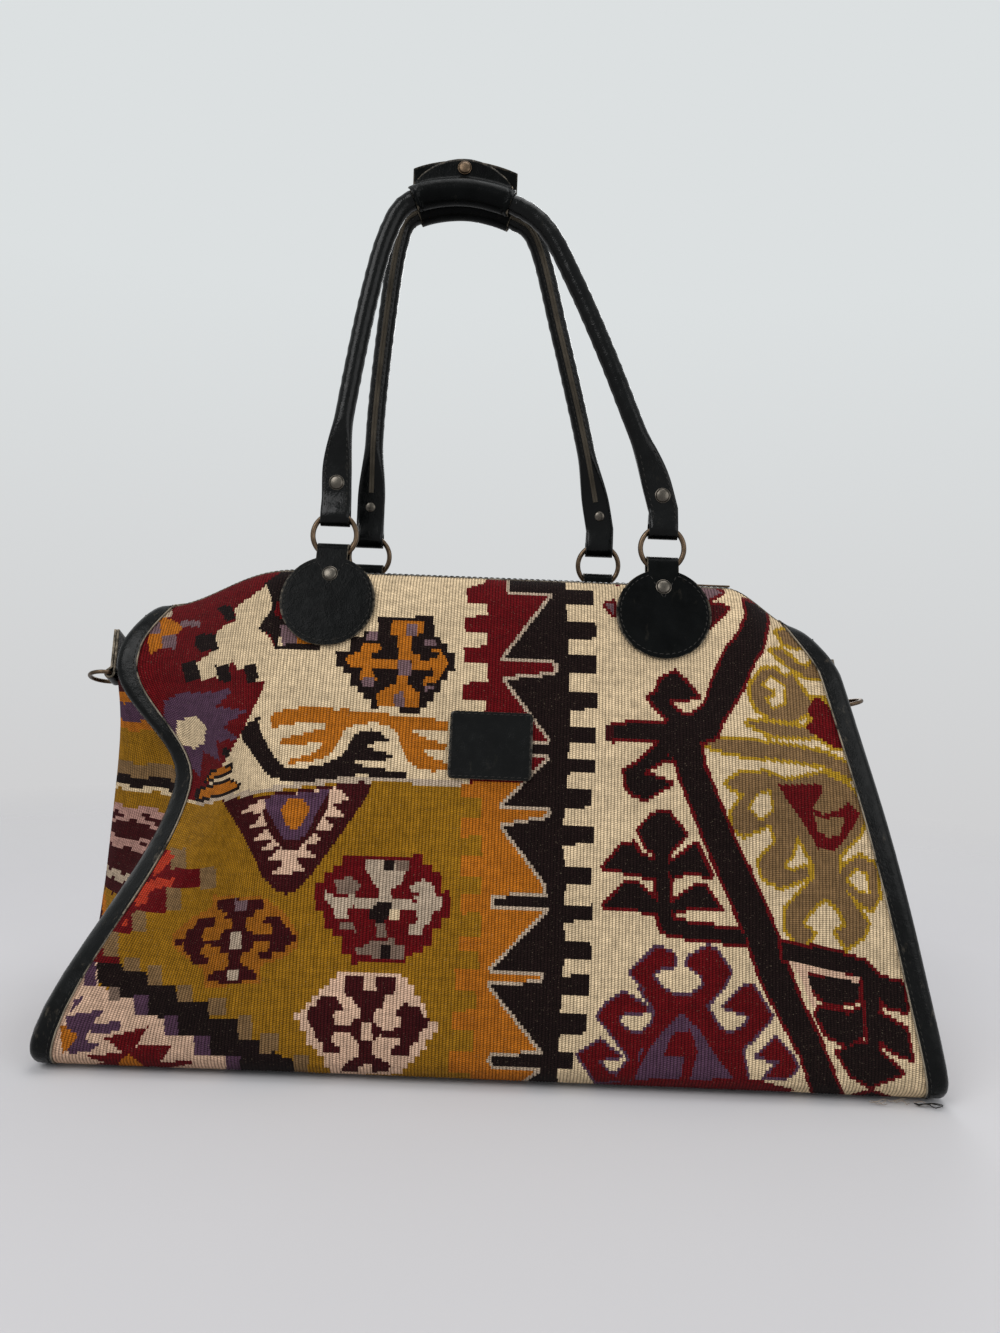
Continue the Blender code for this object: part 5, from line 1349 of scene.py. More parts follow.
def make_panels():
    front = face_outline(FRONT_ROWS)
    skin, weft = panel_skin(front)
    centres = cell_centres(skin)
    x, y = in_photo(centres.reshape(-1, 3))
    cloth = front_cloth(x, y).reshape(centres.shape[:2])
    dress(woven("kilim_front", skin, cloth, weft, (0.0, -1.0, 0.0)), "bag", "kilim", "kilim_body")
    back = [Vector((-point.x, point.y)) for point in front]
    skin, weft = panel_skin(back)
    turned_cloth = cloth[:, ::-1]
    dress(woven("kilim_back", skin, turned_cloth, weft, (0.0, 1.0, 0.0)), "bag", "kilim", "kilim_body")
    flat = [Vector((mix(front[-1].x, -front[-1].x, step / BASE_SKIN_ROWS), 0.0))
            for step in range(BASE_SKIN_ROWS + 1)]
    skin, weft = panel_skin(flat)
    under = np.array([cloth[-1] if step < BASE_SKIN_ROWS // 2 else turned_cloth[-1]
                      for step in range(BASE_SKIN_ROWS)])
    dress(woven("kilim_base", skin, under, weft, (0.0, 0.0, -1.0)), "bag", "kilim", "kilim_body")


def end_widths(inset):
    """Heights and half widths of an end panel, an inset in from the outline."""
    line = catmull(outline_guides(), [10] * 9)
    spots = [point - normal * math.copysign(inset, normal.x)
             for point, normal in zip(line, outline_normals(line, False))]
    return [max(spot.y, inset) for spot in spots], [spot.x for spot in spots]


def make_end(name, side):
    """One woven end, ribbed from top to bottom."""
    inset = BINDING_ON_GUSSET - END_UNDER_BINDING
    heights, widths = end_widths(inset)
    top = BODY_HEIGHT - inset
    columns = rib_columns(max(widths))
    skin = []
    for step in range(END_ROWS + 1):
        z = mix(inset, top, step / END_ROWS)
        width = float(np.interp(z, heights, widths))
        row = []
        for y in columns:
            y = min(max(y, -width), width)
            share = min(1.0 - abs(y) / width, (z - inset) / GUSSET_SPINE_LOW,
                        (top - z) / (BODY_HEIGHT - GUSSET_SPINE_HIGH))
            reach = half_length(z) + GUSSET_BULGE * smooth_step(share)
            row.append(tuple(body_point(side * reach, y, z)))
        skin.append(row)
    skin = np.array(skin)
    weft = staggered(np.linspace(0.0, top / sizes().weft_pitch, END_ROWS + 1), columns)
    centres = cell_centres(skin)
    cloth = end_cloth(centres.reshape(-1, 3)).reshape(centres.shape[:2])
    dress(woven(name, skin, cloth, weft, (float(side), 0.0, 0.0)), "bag", "end_kilim", name[6:])


# Pieces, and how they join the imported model

EDGE_SHARES = (-1.0, -0.93, -0.6, -0.2, 0.2, 0.6, 0.93, 1.0)
BEVEL_WIDTH = 0.00045
SHEET_MERGE = 0.00001
SHARP_ANGLE = math.radians(50)


def add_piece(name, mesh, *finishes):
    made = bpy.data.objects.new(name, mesh)
    bpy.context.scene.collection.objects.link(made)
    for finish in finishes:
        mesh.materials.append(finish)
    return made


def meshed(name, verts, faces, finish, smooth=True):
    """A piece from its points and faces."""
    mesh = bpy.data.meshes.new(name)
    mesh.from_pydata(verts, [], faces)
    if smooth:
        mesh.shade_smooth()
    return add_piece(name, mesh, finish)


def from_bmesh(name, bm):
    """A mesh with what a bmesh holds."""
    mesh = bpy.data.meshes.new(name)
    bm.to_mesh(mesh)
    bm.free()
    return mesh


def grid_faces(rows, columns, close_rows=False, close_columns=False):
    """Quads over a grid of vertices, numbered row by row."""
    faces = []
    for row in range(rows if close_rows else rows - 1):
        below = (row + 1) % rows * columns
        for column in range(columns if close_columns else columns - 1):
            after = (column + 1) % columns
            faces.append((row * columns + column, row * columns + after, below + after, below + column))
    return faces


def numbered(faces, start):
    """Faces whose numbers are counted on from a start."""
    return [tuple(start + number for number in face) for face in faces]


def ring_points(middle, across, up, radius, sides):
    """The corners of a ring that stands on two axes."""
    turns = [2.0 * math.pi * side / sides for side in range(sides)]
    return [middle + (across * math.cos(turn) + up * math.sin(turn)) * radius for turn in turns]


def dress(piece, body, slot, *nodes):
    """Lets a piece ride on a body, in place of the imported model's nodes."""
    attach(piece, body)
    if nodes:
        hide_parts(*nodes)
    return piece


def settled(piece):
    """A piece whose modifiers have become its mesh."""
    bpy.context.view_layer.update()
    shape = bpy.data.meshes.new_from_object(piece.evaluated_get(bpy.context.evaluated_depsgraph_get()))
    piece.modifiers.clear()
    piece.data = shape
    return piece


def grid_mesh(name, rows, closed, centre):
    """A sheet through rows of points that faces away from the centre, worn along its edges."""
    bm = bmesh.new()
    grid = [[bm.verts.new(point) for point in row] for row in rows]
    bands = list(zip(grid, grid[1:]))
    if closed:
        bands.append((grid[-1], grid[0]))
    for low, high in bands:
        for index in range(len(low) - 1):
            bm.faces.new((low[index], low[index + 1], high[index + 1], high[index]))
    bmesh.ops.remove_doubles(bm, verts=bm.verts, dist=SHEET_MERGE)
    bm.normal_update()
    facing = sum(face.normal.dot(face.calc_center_median() - centre) * face.calc_area()
                 for face in bm.faces)
    if facing < 0:
        bmesh.ops.reverse_faces(bm, faces=bm.faces)
    wear = bm.verts.layers.float.new("wear")
    for vert in bm.verts:
        vert[wear] = 1.0 if any(edge.is_boundary for edge in vert.link_edges) else 0.0
    mesh = from_bmesh(name, bm)
    mesh.shade_smooth()
    return mesh


def leather_sheet(name, rows, thickness, finish, closed=False, offset=-1.0, centre=None,
                  bevel=BEVEL_WIDTH, even=True):
    """A piece of leather with its thickness, a raw rim and softened edges."""
    mesh = grid_mesh(name, rows, closed, centre or Vector((0.0, 0.0, BODY_HEIGHT * 0.45)))
    made = add_piece(name, mesh, finish, raw_edge())
    shell = made.modifiers.new("thickness", "SOLIDIFY")
    shell.thickness = thickness
    shell.offset = offset
    shell.use_even_offset = even
    shell.material_offset_rim = 1
    rounding = made.modifiers.new("soft edges", "BEVEL")
    rounding.width = bevel
    rounding.segments = 2
    rounding.limit_method = "ANGLE"
    rounding.angle_limit = SHARP_ANGLE
    settled(made)
    made.data.shade_smooth()
    return made


def strap(name, path, widths, thickness, matrix, finish):
    """A strip of leather along a path in (normal, up), with its own half width at each point."""
    rows = [[matrix @ Vector((width * share, point.x, point.y)) for share in EDGE_SHARES]
            for point, width in zip(path, widths)]
    behind = matrix @ Vector((0.0, 0.02, 0.0))
    return leather_sheet(name, rows, thickness, finish, offset=0.0, centre=behind)


# Stitches

STITCH_RINGS = ((-1.0, 0.25), (-0.72, 0.85), (0.0, 1.0), (0.72, 0.85), (1.0, 0.25))
STITCH_SIDES = 6
STITCH_TWIST = 0.10


def stitched(name, runs, body, slot):
    """Rows of stitches, each run a line of (point, normal)."""
    verts = []
    faces = []
    half = sizes().stitch_length / 2
    radius = sizes().stitch_width / 2
    for run in runs:
        points = [Vector(point) for point, _ in run]
        normals = [Vector(normal) for _, normal in run]
        lengths = run_lengths(points)
        count = int(lengths[-1] / sizes().stitch_pitch)
        if count < 1:
            continue
        pitch = lengths[-1] / count
        spot = 0
        for number in range(count):
            target = pitch * (number + 0.5)
            while spot < len(points) - 2 and lengths[spot + 1] < target:
                spot += 1
            share = (target - lengths[spot]) / max(lengths[spot + 1] - lengths[spot], 1e-9)
            here = points[spot].lerp(points[spot + 1], share)
            up = normals[spot].lerp(normals[spot + 1], share).normalized()
            along = (points[spot + 1] - points[spot]).normalized()
            across = up.cross(along).normalized()
            along = (along + across * STITCH_TWIST).normalized()
            start = len(verts)
            for place, scale in STITCH_RINGS:
                middle = here + along * half * place + up * radius * (0.35 * scale - 0.15)
                verts += ring_points(middle, across, up, radius * scale, STITCH_SIDES)
            faces += numbered(grid_faces(len(STITCH_RINGS), STITCH_SIDES, close_columns=True), start)
            faces.append(tuple(range(start + STITCH_SIDES - 1, start - 1, -1)))
            faces.append(tuple(range(len(verts) - STITCH_SIDES, len(verts))))
    dress(meshed(name, verts, faces, thread()), body, slot)


# Bindings

RUN_BREAK = 0.02
BINDING_LIFT = 0.0011
BINDING_FLOOR_FADE = 0.022
STITCH_FROM_EDGE = 0.0026
EDGE_STEP = 0.0010
EDGE_CORD = 0.00055
EDGE_CORD_SIDES = 6
CORNER_TURNS = (15, 32, 50, 70)


def binding_spot(point, normal, side, on_panel=None, on_gusset=None, lift=BINDING_LIFT):
    """A point of the binding, a distance from the body's end or in from its outline."""
    raised = lift * smooth_step(point.y / BINDING_FLOOR_FADE)
    if on_panel is not None:
        outer = point + normal * raised
        return body_point(side * (half_length(point.y) - on_panel), outer.x, outer.y)
    x, y, z = inset_point(point, normal, on_gusset, side)
    return body_point(x + side * raised, y, z)


def make_binding(word, side):
    loop = ring_rows()
    normals = outline_normals(loop, True)
    rows = []
    for point, normal in zip(loop, normals):
        raised = BINDING_LIFT * smooth_step(point.y / BINDING_FLOOR_FADE)
        row = [binding_spot(point, normal, side, on_panel=back)
               for back in (BINDING_ON_PANEL, BINDING_ON_PANEL - EDGE_STEP, BINDING_ON_PANEL * 0.72,
                            CORNER_RADIUS * 1.15)]
        for degrees in CORNER_TURNS:
            turn = math.radians(degrees)
            drop = CORNER_RADIUS * (1.0 - math.cos(turn)) - raised * math.cos(turn)
            back = CORNER_RADIUS * (1.0 - math.sin(turn)) - raised * math.sin(turn)
            x, y, z = inset_point(point, normal, drop, side)
            row.append(body_point(x - side * back, y, z))
        row += [binding_spot(point, normal, side, on_gusset=distance)
                for distance in (CORNER_RADIUS, BINDING_ON_GUSSET - EDGE_STEP, BINDING_ON_GUSSET)]
        rows.append(row)
    name = "sewn_" + word + "_binding"
    made = leather_sheet(name, rows, BINDING_THICKNESS, binding_leather(), closed=True, even=False)
    dress(made, "bag", "leather", word + "_binding")
    stitches = edge_runs(loop, normals, side, STITCH_FROM_EDGE)
    stitched(word + "_binding_stitches", off_floor(stitches, sizes().stitch_width), "bag", "leather")
    edges = off_floor(edge_runs(loop, normals, side, 0.0), EDGE_CORD * 2.0)
    sweep_piece(word + "_binding_edges", [[point for point, _ in run] for run in edges], EDGE_CORD,
                EDGE_CORD_SIDES, worn_edge(), "bag", "leather")


def edge_runs(loop, normals, side, inset):
    """Runs of (point, normal) along both edges of a binding, an inset in from them."""
    around = list(zip(loop, normals)) + [(loop[0], normals[0])]
    yield [(binding_spot(point, normal, side, on_panel=BINDING_ON_PANEL - inset),
            (0.0, normal.x, normal.y)) for point, normal in around]
    yield [(binding_spot(point, normal, side, on_gusset=BINDING_ON_GUSSET - inset),
            (float(side), 0.0, 0.0)) for point, normal in around]


def off_floor(runs, height):
    """The parts of the runs that lie above a height, cut where two points lie far apart."""
    pieces = []
    for run in runs:
        run = [spot for spot in run if spot[0].z > height]
        piece = [run[0]]
        for before, spot in zip(run, run[1:]):
            if (spot[0] - before[0]).length > RUN_BREAK:
                pieces.append(piece)
                piece = []
            piece.append(spot)
        pieces.append(piece)
    return [piece for piece in pieces if len(piece) > 1]


LOOSE_THREADS = (
    ("black_thread_ends", 3, 0.00034, (0.262, 0.274), 0.0023),
    ("frayed_yarn_ends", 6, 0.00020, (0.236, 0.268), 0.0019),
)


def make_loose_threads():
    """Thread and yarn that has come loose at the foot of the right binding."""
    wander = random.Random(7)
    for name, count, radius, reach, stride in LOOSE_THREADS:
        splines = []
        for _ in range(count):
            here = Vector((wander.uniform(*reach), wander.uniform(-0.1015, -0.096), 0.0022))
            heading = wander.uniform(-0.5, 0.9)
            bend = wander.uniform(1.2, 2.6) * wander.choice((-1.0, 1.0))
            line = []
            for step in range(9):
                line.append(here.copy())
                here += Vector((math.cos(heading), -0.3 * math.sin(heading) - 0.10, 0.0)) * stride
                here.z = 0.0010 + 0.0020 * abs(math.sin(heading + step * 0.5))
                heading += bend / 9
            splines.append(line)
        finish = thread() if name.startswith("black") else loose_yarn()
        sweep_piece(name, splines, radius, 5, finish, "bag", "kilim")


# The zip's edges

FACING_LIFT = 0.0008
FACING_OVERLAP = 0.0035
FACING_ENDS = 1.012
TAPE_ENDS = 1.005


def mouth_rows(side, places, depth, ends):
    return [[mouth_point(share * ends, side * y, depth) for y in places] for share in column_shares()]


def make_zip_edges():
    inner = ZIP_SLOT / 2
    outer = MOUTH_WIDTH / 2 + FACING_OVERLAP
    places = (inner, inner + EDGE_STEP, mix(inner, outer, 0.35), mix(inner, outer, 0.7),
              outer - EDGE_STEP, outer)
    tape = (CHAIN_WIDTH / 2 + LAYER_GAP, inner, inner + TAPE_UNDER_FACING * 0.6)
    for word, side in (("front", FRONT), ("back", BACK)):
        rows = mouth_rows(side, places, -FACING_LIFT, FACING_ENDS)
        made = leather_sheet("sewn_zip_facing_" + word, rows, FACING_THICKNESS, leather())
        dress(made, "bag", "leather", "zip_facing_" + word)
        rows = mouth_rows(side, tape, FACING_THICKNESS + LAYER_GAP, TAPE_ENDS)
        cloth = leather_sheet("woven_zip_tape_" + word, rows, TAPE_THICKNESS, zip_tape(),
                              bevel=BEVEL_WIDTH / 3)
        cloth.data.materials[1] = zip_tape()
        dress(cloth, "bag", "zip_tape", "zip_tape_" + word)
        runs = []
        for y in (inner + STITCH_FROM_EDGE, outer - STITCH_FROM_EDGE):
            points = [mouth_point(share, side * y, -FACING_LIFT) for share in column_shares()]
            runs.append([(point, (0.0, 0.0, 1.0)) for point in points])
        stitched("zip_facing_stitches_" + word, runs, "bag", "leather")


# Chapes

TO_FACE = Matrix.Rotation(-math.pi / 2, 4, "X")
DISC_STEPS = 30
DISC_START = 0.04
CHAPE_STITCH_RADIUS = CHAPE_RADIUS - 0.0030
CHAPE_V_POINT = CHAPE_RIVET_HEIGHT - 0.0085
CHAPE_V_SHARE = 0.86


def chape_run(matrix, spots):
    """Stitches on a chape's face, at places given as (across, up)."""
    out = (matrix.to_3x3() @ Vector((0.0, 1.0, 0.0))).normalized()
    return [(matrix @ Vector((x, STRAP_THICKNESS / 2, up)), out) for x, up in spots]


def make_chape(word, x, drop, side):
    matrix = chape_matrix(x, drop, side)
    tab = CHAPE_TAB_WIDTH / 2
    last = math.pi - math.asin(tab / CHAPE_RADIUS)
    turns = [mix(DISC_START, last, step / DISC_STEPS) for step in range(DISC_STEPS + 1)]
    start = [-CHAPE_RADIUS * math.cos(turn) for turn in turns]
    start += [mix(start[-1], CHAPE_LOOP_HEIGHT, step / 4) for step in (1, 2, 3)]
    inner = loop_fit(CHAPE_TAB_WIDTH)[0]
    path = fold_path(inner, STRAP_THICKNESS, CHAPE_LOOP_HEIGHT, CHAPE_TAIL_END, start, 1)
    widths = [CHAPE_RADIUS * math.sin(turn) for turn in turns]
    widths += [tab] * (len(path) - len(widths))
    made = strap("sewn_chape_" + word, path, widths, STRAP_THICKNESS, matrix, leather())
    dress(made, "bag", "leather", "chape_" + word)
    edge = math.asin(CHAPE_V_SHARE * tab / CHAPE_STITCH_RADIUS)
    ring = [mix(-math.pi + edge, math.pi - edge, step / 60) for step in range(61)]
    around = [(CHAPE_STITCH_RADIUS * math.sin(turn), -CHAPE_STITCH_RADIUS * math.cos(turn))
              for turn in ring]
    vee = [around[0], (0.0, CHAPE_V_POINT), around[-1]]
    runs = [chape_run(matrix, around), chape_run(matrix, vee[:2]), chape_run(matrix, vee[1:])]
    stitched("chape_stitches_" + word, runs, "bag", "leather")
    front = STRAP_THICKNESS / 2
    back = -(1.5 * STRAP_THICKNESS + 2 * GAP)
    spot = matrix @ Matrix.Translation((0.0, 0.0, CHAPE_RIVET_HEIGHT)) @ TO_FACE
    name = "chape_rivet_" + word
    dress(rivet(name, spot, front, back, WASHER_THICKNESS), "bag", "nickel", name)


# Turned and swept metal

LATHE_STEPS = 32
METAL_MERGE = 0.000002
RIM_INSET = 0.86
RIVET_RIM = 0.0006
RIVET_SPREAD = 1.2
WASHER_RADIUS = RIVET_HEAD * 0.48
HANDLE_WASHER_RADIUS = RIVET_HEAD * 0.40


def shaped(name, rings, finish, close_rows=False, caps=False):
    """A closed tube through rings of points, with its ends capped or joined."""
    columns = len(rings[0])
    faces = grid_faces(len(rings), columns, close_rows, True)
    if caps:
        faces.append(tuple(range(columns)))
        faces.append(tuple(range((len(rings) - 1) * columns, len(rings) * columns)))
    bm = bmesh.new()
    verts = [bm.verts.new(point) for ring in rings for point in ring]
    for face in faces:
        bm.faces.new([verts[number] for number in face])
    bmesh.ops.remove_doubles(bm, verts=bm.verts, dist=METAL_MERGE)
    bmesh.ops.dissolve_degenerate(bm, edges=bm.edges, dist=METAL_MERGE)
    bmesh.ops.recalc_face_normals(bm, faces=bm.faces)
    mesh = from_bmesh(name, bm)
    mesh.shade_smooth()
    mesh.set_sharp_from_angle(angle=SHARP_ANGLE)
    return add_piece(name, mesh, finish)


def lathe(name, profile, matrix, finish, closed=False):
    """A turned piece from a profile of (radius, height), about the matrix's Z."""
    rings = []
    for radius, height in profile:
        ring = []
        for step in range(LATHE_STEPS):
            turn = 2.0 * math.pi * step / LATHE_STEPS
            ring.append(matrix @ Vector((radius * math.cos(turn), radius * math.sin(turn), height)))
        rings.append(ring)
    return shaped(name, rings, finish, close_rows=closed)


def domed(radius, foot, height, rim):
    """The profile of a domed head with a small rolled rim, from its top down to its foot."""
    profile = [(0.0, foot + height)]
    for degrees in (18, 36, 54, 70):
        turn = math.radians(degrees)
        profile.append((radius * RIM_INSET * math.sin(turn), foot + rim + (height - rim) * math.cos(turn)))
    return profile + [(radius * share, foot + rim * height)
                      for share, height in ((RIM_INSET, 0.55), (0.93, 1.0), (0.99, 0.75), (1.0, 0.3),
                                            (0.98, 0.0))]


def rivet(name, matrix, front, back, washer, washer_radius=WASHER_RADIUS):
    """A domed rivet with its shank and the washer behind."""
    shank = RIVET_SHANK / 2
    profile = domed(RIVET_HEAD / 2 * RIVET_SPREAD, front, RIVET_DOME, RIVET_RIM)
    profile += [(shank, front), (shank, back), (washer_radius, back),
                (washer_radius * 0.9, back - washer), (0.0, back - washer)]
    return lathe("domed_" + name, profile, matrix, nickel())


def swept(line, radius, sides, cyclic=False):
    """Rings of a round wire along a line of points."""
    rings = []
    count = len(line)
    up = None
    for index, point in enumerate(line):
        before = line[index - 1] if cyclic or index else point
        after = line[(index + 1) % count] if cyclic or index < count - 1 else point
        along = (after - before).normalized()
        if up is None:
            up = along.orthogonal().normalized()
        up = (up - along * up.dot(along)).normalized()
        across = along.cross(up)
        rings.append(ring_points(point, up, across, radius, sides))
    return rings


def sweep_piece(name, lines, radius, sides, finish, body, slot):
    """Several thin round strands as one piece."""
    verts = []
    faces = []
    for line in lines:
        start = len(verts)
        for ring in swept(line, radius, sides):
            verts += ring
        faces += numbered(grid_faces(len(line), sides, close_columns=True), start)
        faces.append(tuple(range(start, start + sides)))
        faces.append(tuple(range(len(verts) - 1, len(verts) - 1 - sides, -1)))
    dress(meshed(name, verts, faces, finish), body, slot)


# Handles and their rings

RING_STEPS = 72
RING_SIDES = 16
EYE_CUT = 1.4
SEAM_HALF = 0.0017
SEAM_RISE = 0.0010
SEAM_PROFILE = ((-1.25, -0.9), (-1.0, 0.35), (-0.72, 0.95), (-0.18, 1.0), (0.0, 0.35), (0.18, 1.0),
                (0.72, 0.95), (1.0, 0.35), (1.25, -0.9))
SEAM_STITCH_AT = 0.0030
HANDLE_CREASE = 0.00022
HANDLE_CREASE_RUN = 900.0
HANDLE_CREASE_FADE = 0.02
END_STITCHES = (0.004, HANDLE_NECK_END * 0.8)


def make_ring(word, x, loop, lean):
    up = Vector((0.0, math.sin(lean), math.cos(lean)))
    centre = Vector((x, loop.y, loop.z)) + up * loop_fit(CHAPE_TAB_WIDTH)[1]
    line = []
    for step in range(RING_STEPS):
        turn = 2.0 * math.pi * step / RING_STEPS
        line.append(centre + Vector((math.cos(turn), 0.0, 0.0)) * RING_RADIUS
                    + up * RING_RADIUS * math.sin(turn))
    rings = swept(line, RING_WIRE / 2, RING_SIDES, True)
    made = shaped("cast_ring_" + word, rings, brass(), close_rows=True)
    dress(made, "ring_" + word, "antique_brass", "ring_" + word)


def handle_stops(arches, ends, peak):
    """The handle's middle line with each point's run up from its eye."""
    eye = loop_fit(HANDLE_END_WIDTH)[0] + HANDLE_EYE_WALL
    line = handle_stations(handle_line(arches, ends, peak), peak)
    low = line[0].y
    below = [-eye * share for share in (0.985, 0.93, 0.8, 0.6, 0.4, 0.2)]
    below += [low * share for share in (0.0, 0.22, 0.45, 0.8)]
    stops = [(Vector((ends[0], height)), height) for height in below]
    lengths = run_lengths(line)
    stops += [(point, low + min(run, lengths[-1] - run)) for point, run in zip(line, lengths)]
    stops += [(Vector((ends[1], height)), height) for height in reversed(below)]
    return stops


def across_at(stops, index):
    before = stops[max(index - 1, 0)][0]
    after = stops[min(index + 1, len(stops) - 1)][0]
    along = (after - before).normalized()
    return Vector((along.y, -along.x))


def eye_cutter(matrix, x):
    """A rod through a handle's eye, where the ring passes."""
    bm = bmesh.new()
    turn = matrix @ Matrix.Translation((x, 0.0, 0.0)) @ Matrix.Rotation(math.pi / 2, 4, "Y")
    radius = loop_fit(HANDLE_END_WIDTH)[0]
    bmesh.ops.create_cone(bm, cap_ends=True, segments=LATHE_STEPS, radius1=radius, radius2=radius,
                          depth=HANDLE_END_WIDTH * EYE_CUT, matrix=turn)
    return add_piece("eye_cutter", from_bmesh("eye_cutter", bm))


def make_handle(word, arches, ends, matrix, peak, side):
    stops = handle_stops(arches, ends, peak)
    rings = []
    for index, (point, height) in enumerate(stops):
        across = across_at(stops, index)
        half_width, half_thickness, squareness = handle_section(height)
        on_tube = smooth_step((height - HANDLE_NECK_END) / HANDLE_CREASE_FADE)
        crease = HANDLE_CREASE * math.sin(HANDLE_CREASE_RUN * height) * on_tube
        ring = []
        for wide, thick in section_ring(half_width + crease, half_thickness + crease, squareness):
            spot = point + across * wide
            ring.append(matrix @ Vector((spot.x, thick, spot.y)))
        rings.append(ring)
    made = shaped("rolled_" + word + "_handle", rings, handle_leather(), caps=True)
    cutters = [eye_cutter(matrix, x) for x in ends]
    for cutter in cutters:
        hole = made.modifiers.new("eye", "BOOLEAN")
        hole.solver = "EXACT"
        hole.object = cutter
    settled(made)
    for cutter in cutters:
        bpy.data.objects.remove(cutter)
    dress(made, word + "_handle", "leather", word + "_handle")
    make_seam(word, stops, matrix, side)
    make_end_stitches(word, stops, matrix, side)
    for side_word, x, arch, sign in (("left", ends[0], arches[0], 1), ("right", ends[1], arches[1], -1)):
        share = smooth_step((HANDLE_RIVET_HEIGHT - arch[0][1]) / (arch[1][1] - arch[0][1]))
        spot = matrix @ Matrix.Translation((x + sign * arch[1][0] * share * 0.5, 0.0, HANDLE_RIVET_HEIGHT))
        spot = spot @ Matrix.Rotation(-math.pi / 2 * side, 4, "X")
        reach = HANDLE_TAB_THICKNESS / 2
        name = word + "_handle_rivet_" + side_word
        made = rivet(name, spot, reach, -reach, WASHER_THICKNESS, HANDLE_WASHER_RADIUS)
        dress(made, word + "_handle", "nickel", name)


def make_seam(word, stops, matrix, side):
    """The two raw edges of the rolled leather, sewn along the side that faces the other handle."""
    rings = []
    runs = ([], [])
    for index, (point, height) in enumerate(stops):
        if height < HANDLE_NECK_START * 1.15:
            continue
        across = across_at(stops, index)
        thickness = handle_section(height)[1]
        rings.append([matrix @ Vector((point.x + across.x * wide * SEAM_HALF,
                                       -side * (thickness + rise * SEAM_RISE),
                                       point.y + across.y * wide * SEAM_HALF))
                      for wide, rise in SEAM_PROFILE])
        if len(rings) % 3 == 0:
            for run, way in zip(runs, (-1, 1)):
                lean = math.asin(min(SEAM_STITCH_AT / thickness, 0.9))
                spot = point + across * way * SEAM_STITCH_AT
                normal = Vector((across.x * way * math.sin(lean), -side * math.cos(lean),
                                 across.y * way * math.sin(lean)))
                place = Vector((spot.x, -side * thickness * math.cos(lean), spot.y))
                run.append((matrix @ place, matrix.to_3x3() @ normal))
    made = meshed(word + "_handle_seam", [point for ring in rings for point in ring],
                  grid_faces(len(rings), len(SEAM_PROFILE)), raw_edge())
    dress(made, word + "_handle", "leather")
    stitched(word + "_handle_seam_stitches", runs, word + "_handle", "leather")


def make_end_stitches(word, stops, matrix, side):
    """Stitches along both edges of the flat ends."""
    runs = []
    middle = len(stops) // 2
    normal = matrix.to_3x3() @ Vector((0.0, float(side), 0.0))
    for way in (-1, 1):
        for half in (range(middle), range(middle, len(stops))):
            run = []
            for index in half:
                point, height = stops[index]
                if END_STITCHES[0] < height < END_STITCHES[1]:
                    half_width, thickness = handle_section(height)[:2]
                    spot = point + across_at(stops, index) * way * (half_width - STITCH_FROM_EDGE)
                    run.append((matrix @ Vector((spot.x, side * thickness, spot.y)), normal))
            runs.append(run)
    stitched(word + "_handle_end_stitches", runs, word + "_handle", "leather")


# Keepers and the press stud

KEEPER_LINE_STEPS = 400
KEEPER_SKIN_COLUMNS = 30
KEEPER_SKIN_POINTS = 44
KEEPER_EDGE_SHARE = 0.985
KEEPER_INNER = HANDLE_DIAMETER / 2 + KEEPER_FIT + KEEPER_THICKNESS / 2
HALF_DISC_LOW = 0.0015


def clipped(section, limit):
    """The part of a keeper's section, a line of (depth, rise), between its first and last points
    below a rise."""
    kept = []
    for start, end in zip(section, section[1:]):
        low_start = start.y <= limit
        low_end = end.y <= limit
        if low_start:
            kept.append(start)
        if low_start != low_end:
            kept.append(start.lerp(end, (limit - start.y) / (end.y - start.y)))
    if section[-1].y <= limit:
        kept.append(section[-1])
    return kept


def make_keeper(word, arches, ends, matrix, peak, side):
    """The wrap round a handle's crown: a half disc in front, a rectangle behind."""
    line = resample(handle_line(arches, ends, peak), KEEPER_LINE_STEPS)
    centre = min(range(len(line)), key=lambda i: (line[i] - peak).length)
    step_length = (line[1] - line[0]).length
    near, far = keeper_layers()
    section = list(reversed(resample(near, 24))) + resample(far, 40)[1:]
    rows = []
    for column in range(KEEPER_SKIN_COLUMNS + 1):
        share = math.sin(math.pi * (column / KEEPER_SKIN_COLUMNS - 0.5)) * KEEPER_EDGE_SHARE
        index = centre + round(KEEPER_HALF_LENGTH * share / step_length)
        along = (line[index + 1] - line[index - 1]).normalized()
        up = Vector((-along.y, along.x))
        above = KEEPER_RISE - KEEPER_INNER + peak.y - line[index].y
        if side == FRONT:
            above = (KEEPER_RISE - KEEPER_INNER) * math.sqrt(1.0 - share ** 2) - HALF_DISC_LOW
        fitted = clipped(section, KEEPER_INNER + above)
        row = []
        for spot in resample(fitted, KEEPER_SKIN_POINTS):
            place = line[index] + up * min(spot.y, KEEPER_INNER)
            place.y += max(spot.y - KEEPER_INNER, 0.0)
            row.append(matrix @ Vector((place.x, -side * spot.x, place.y)))
        rows.append(row)
    middle = matrix @ Vector((peak.x, 0.0, peak.y))
    made = leather_sheet("sewn_" + word + "_keeper", rows, KEEPER_THICKNESS, leather(), offset=0.0,
                         centre=middle, bevel=BEVEL_WIDTH * 0.8, even=False)
    dress(made, word + "_handle", "leather", word + "_keeper")


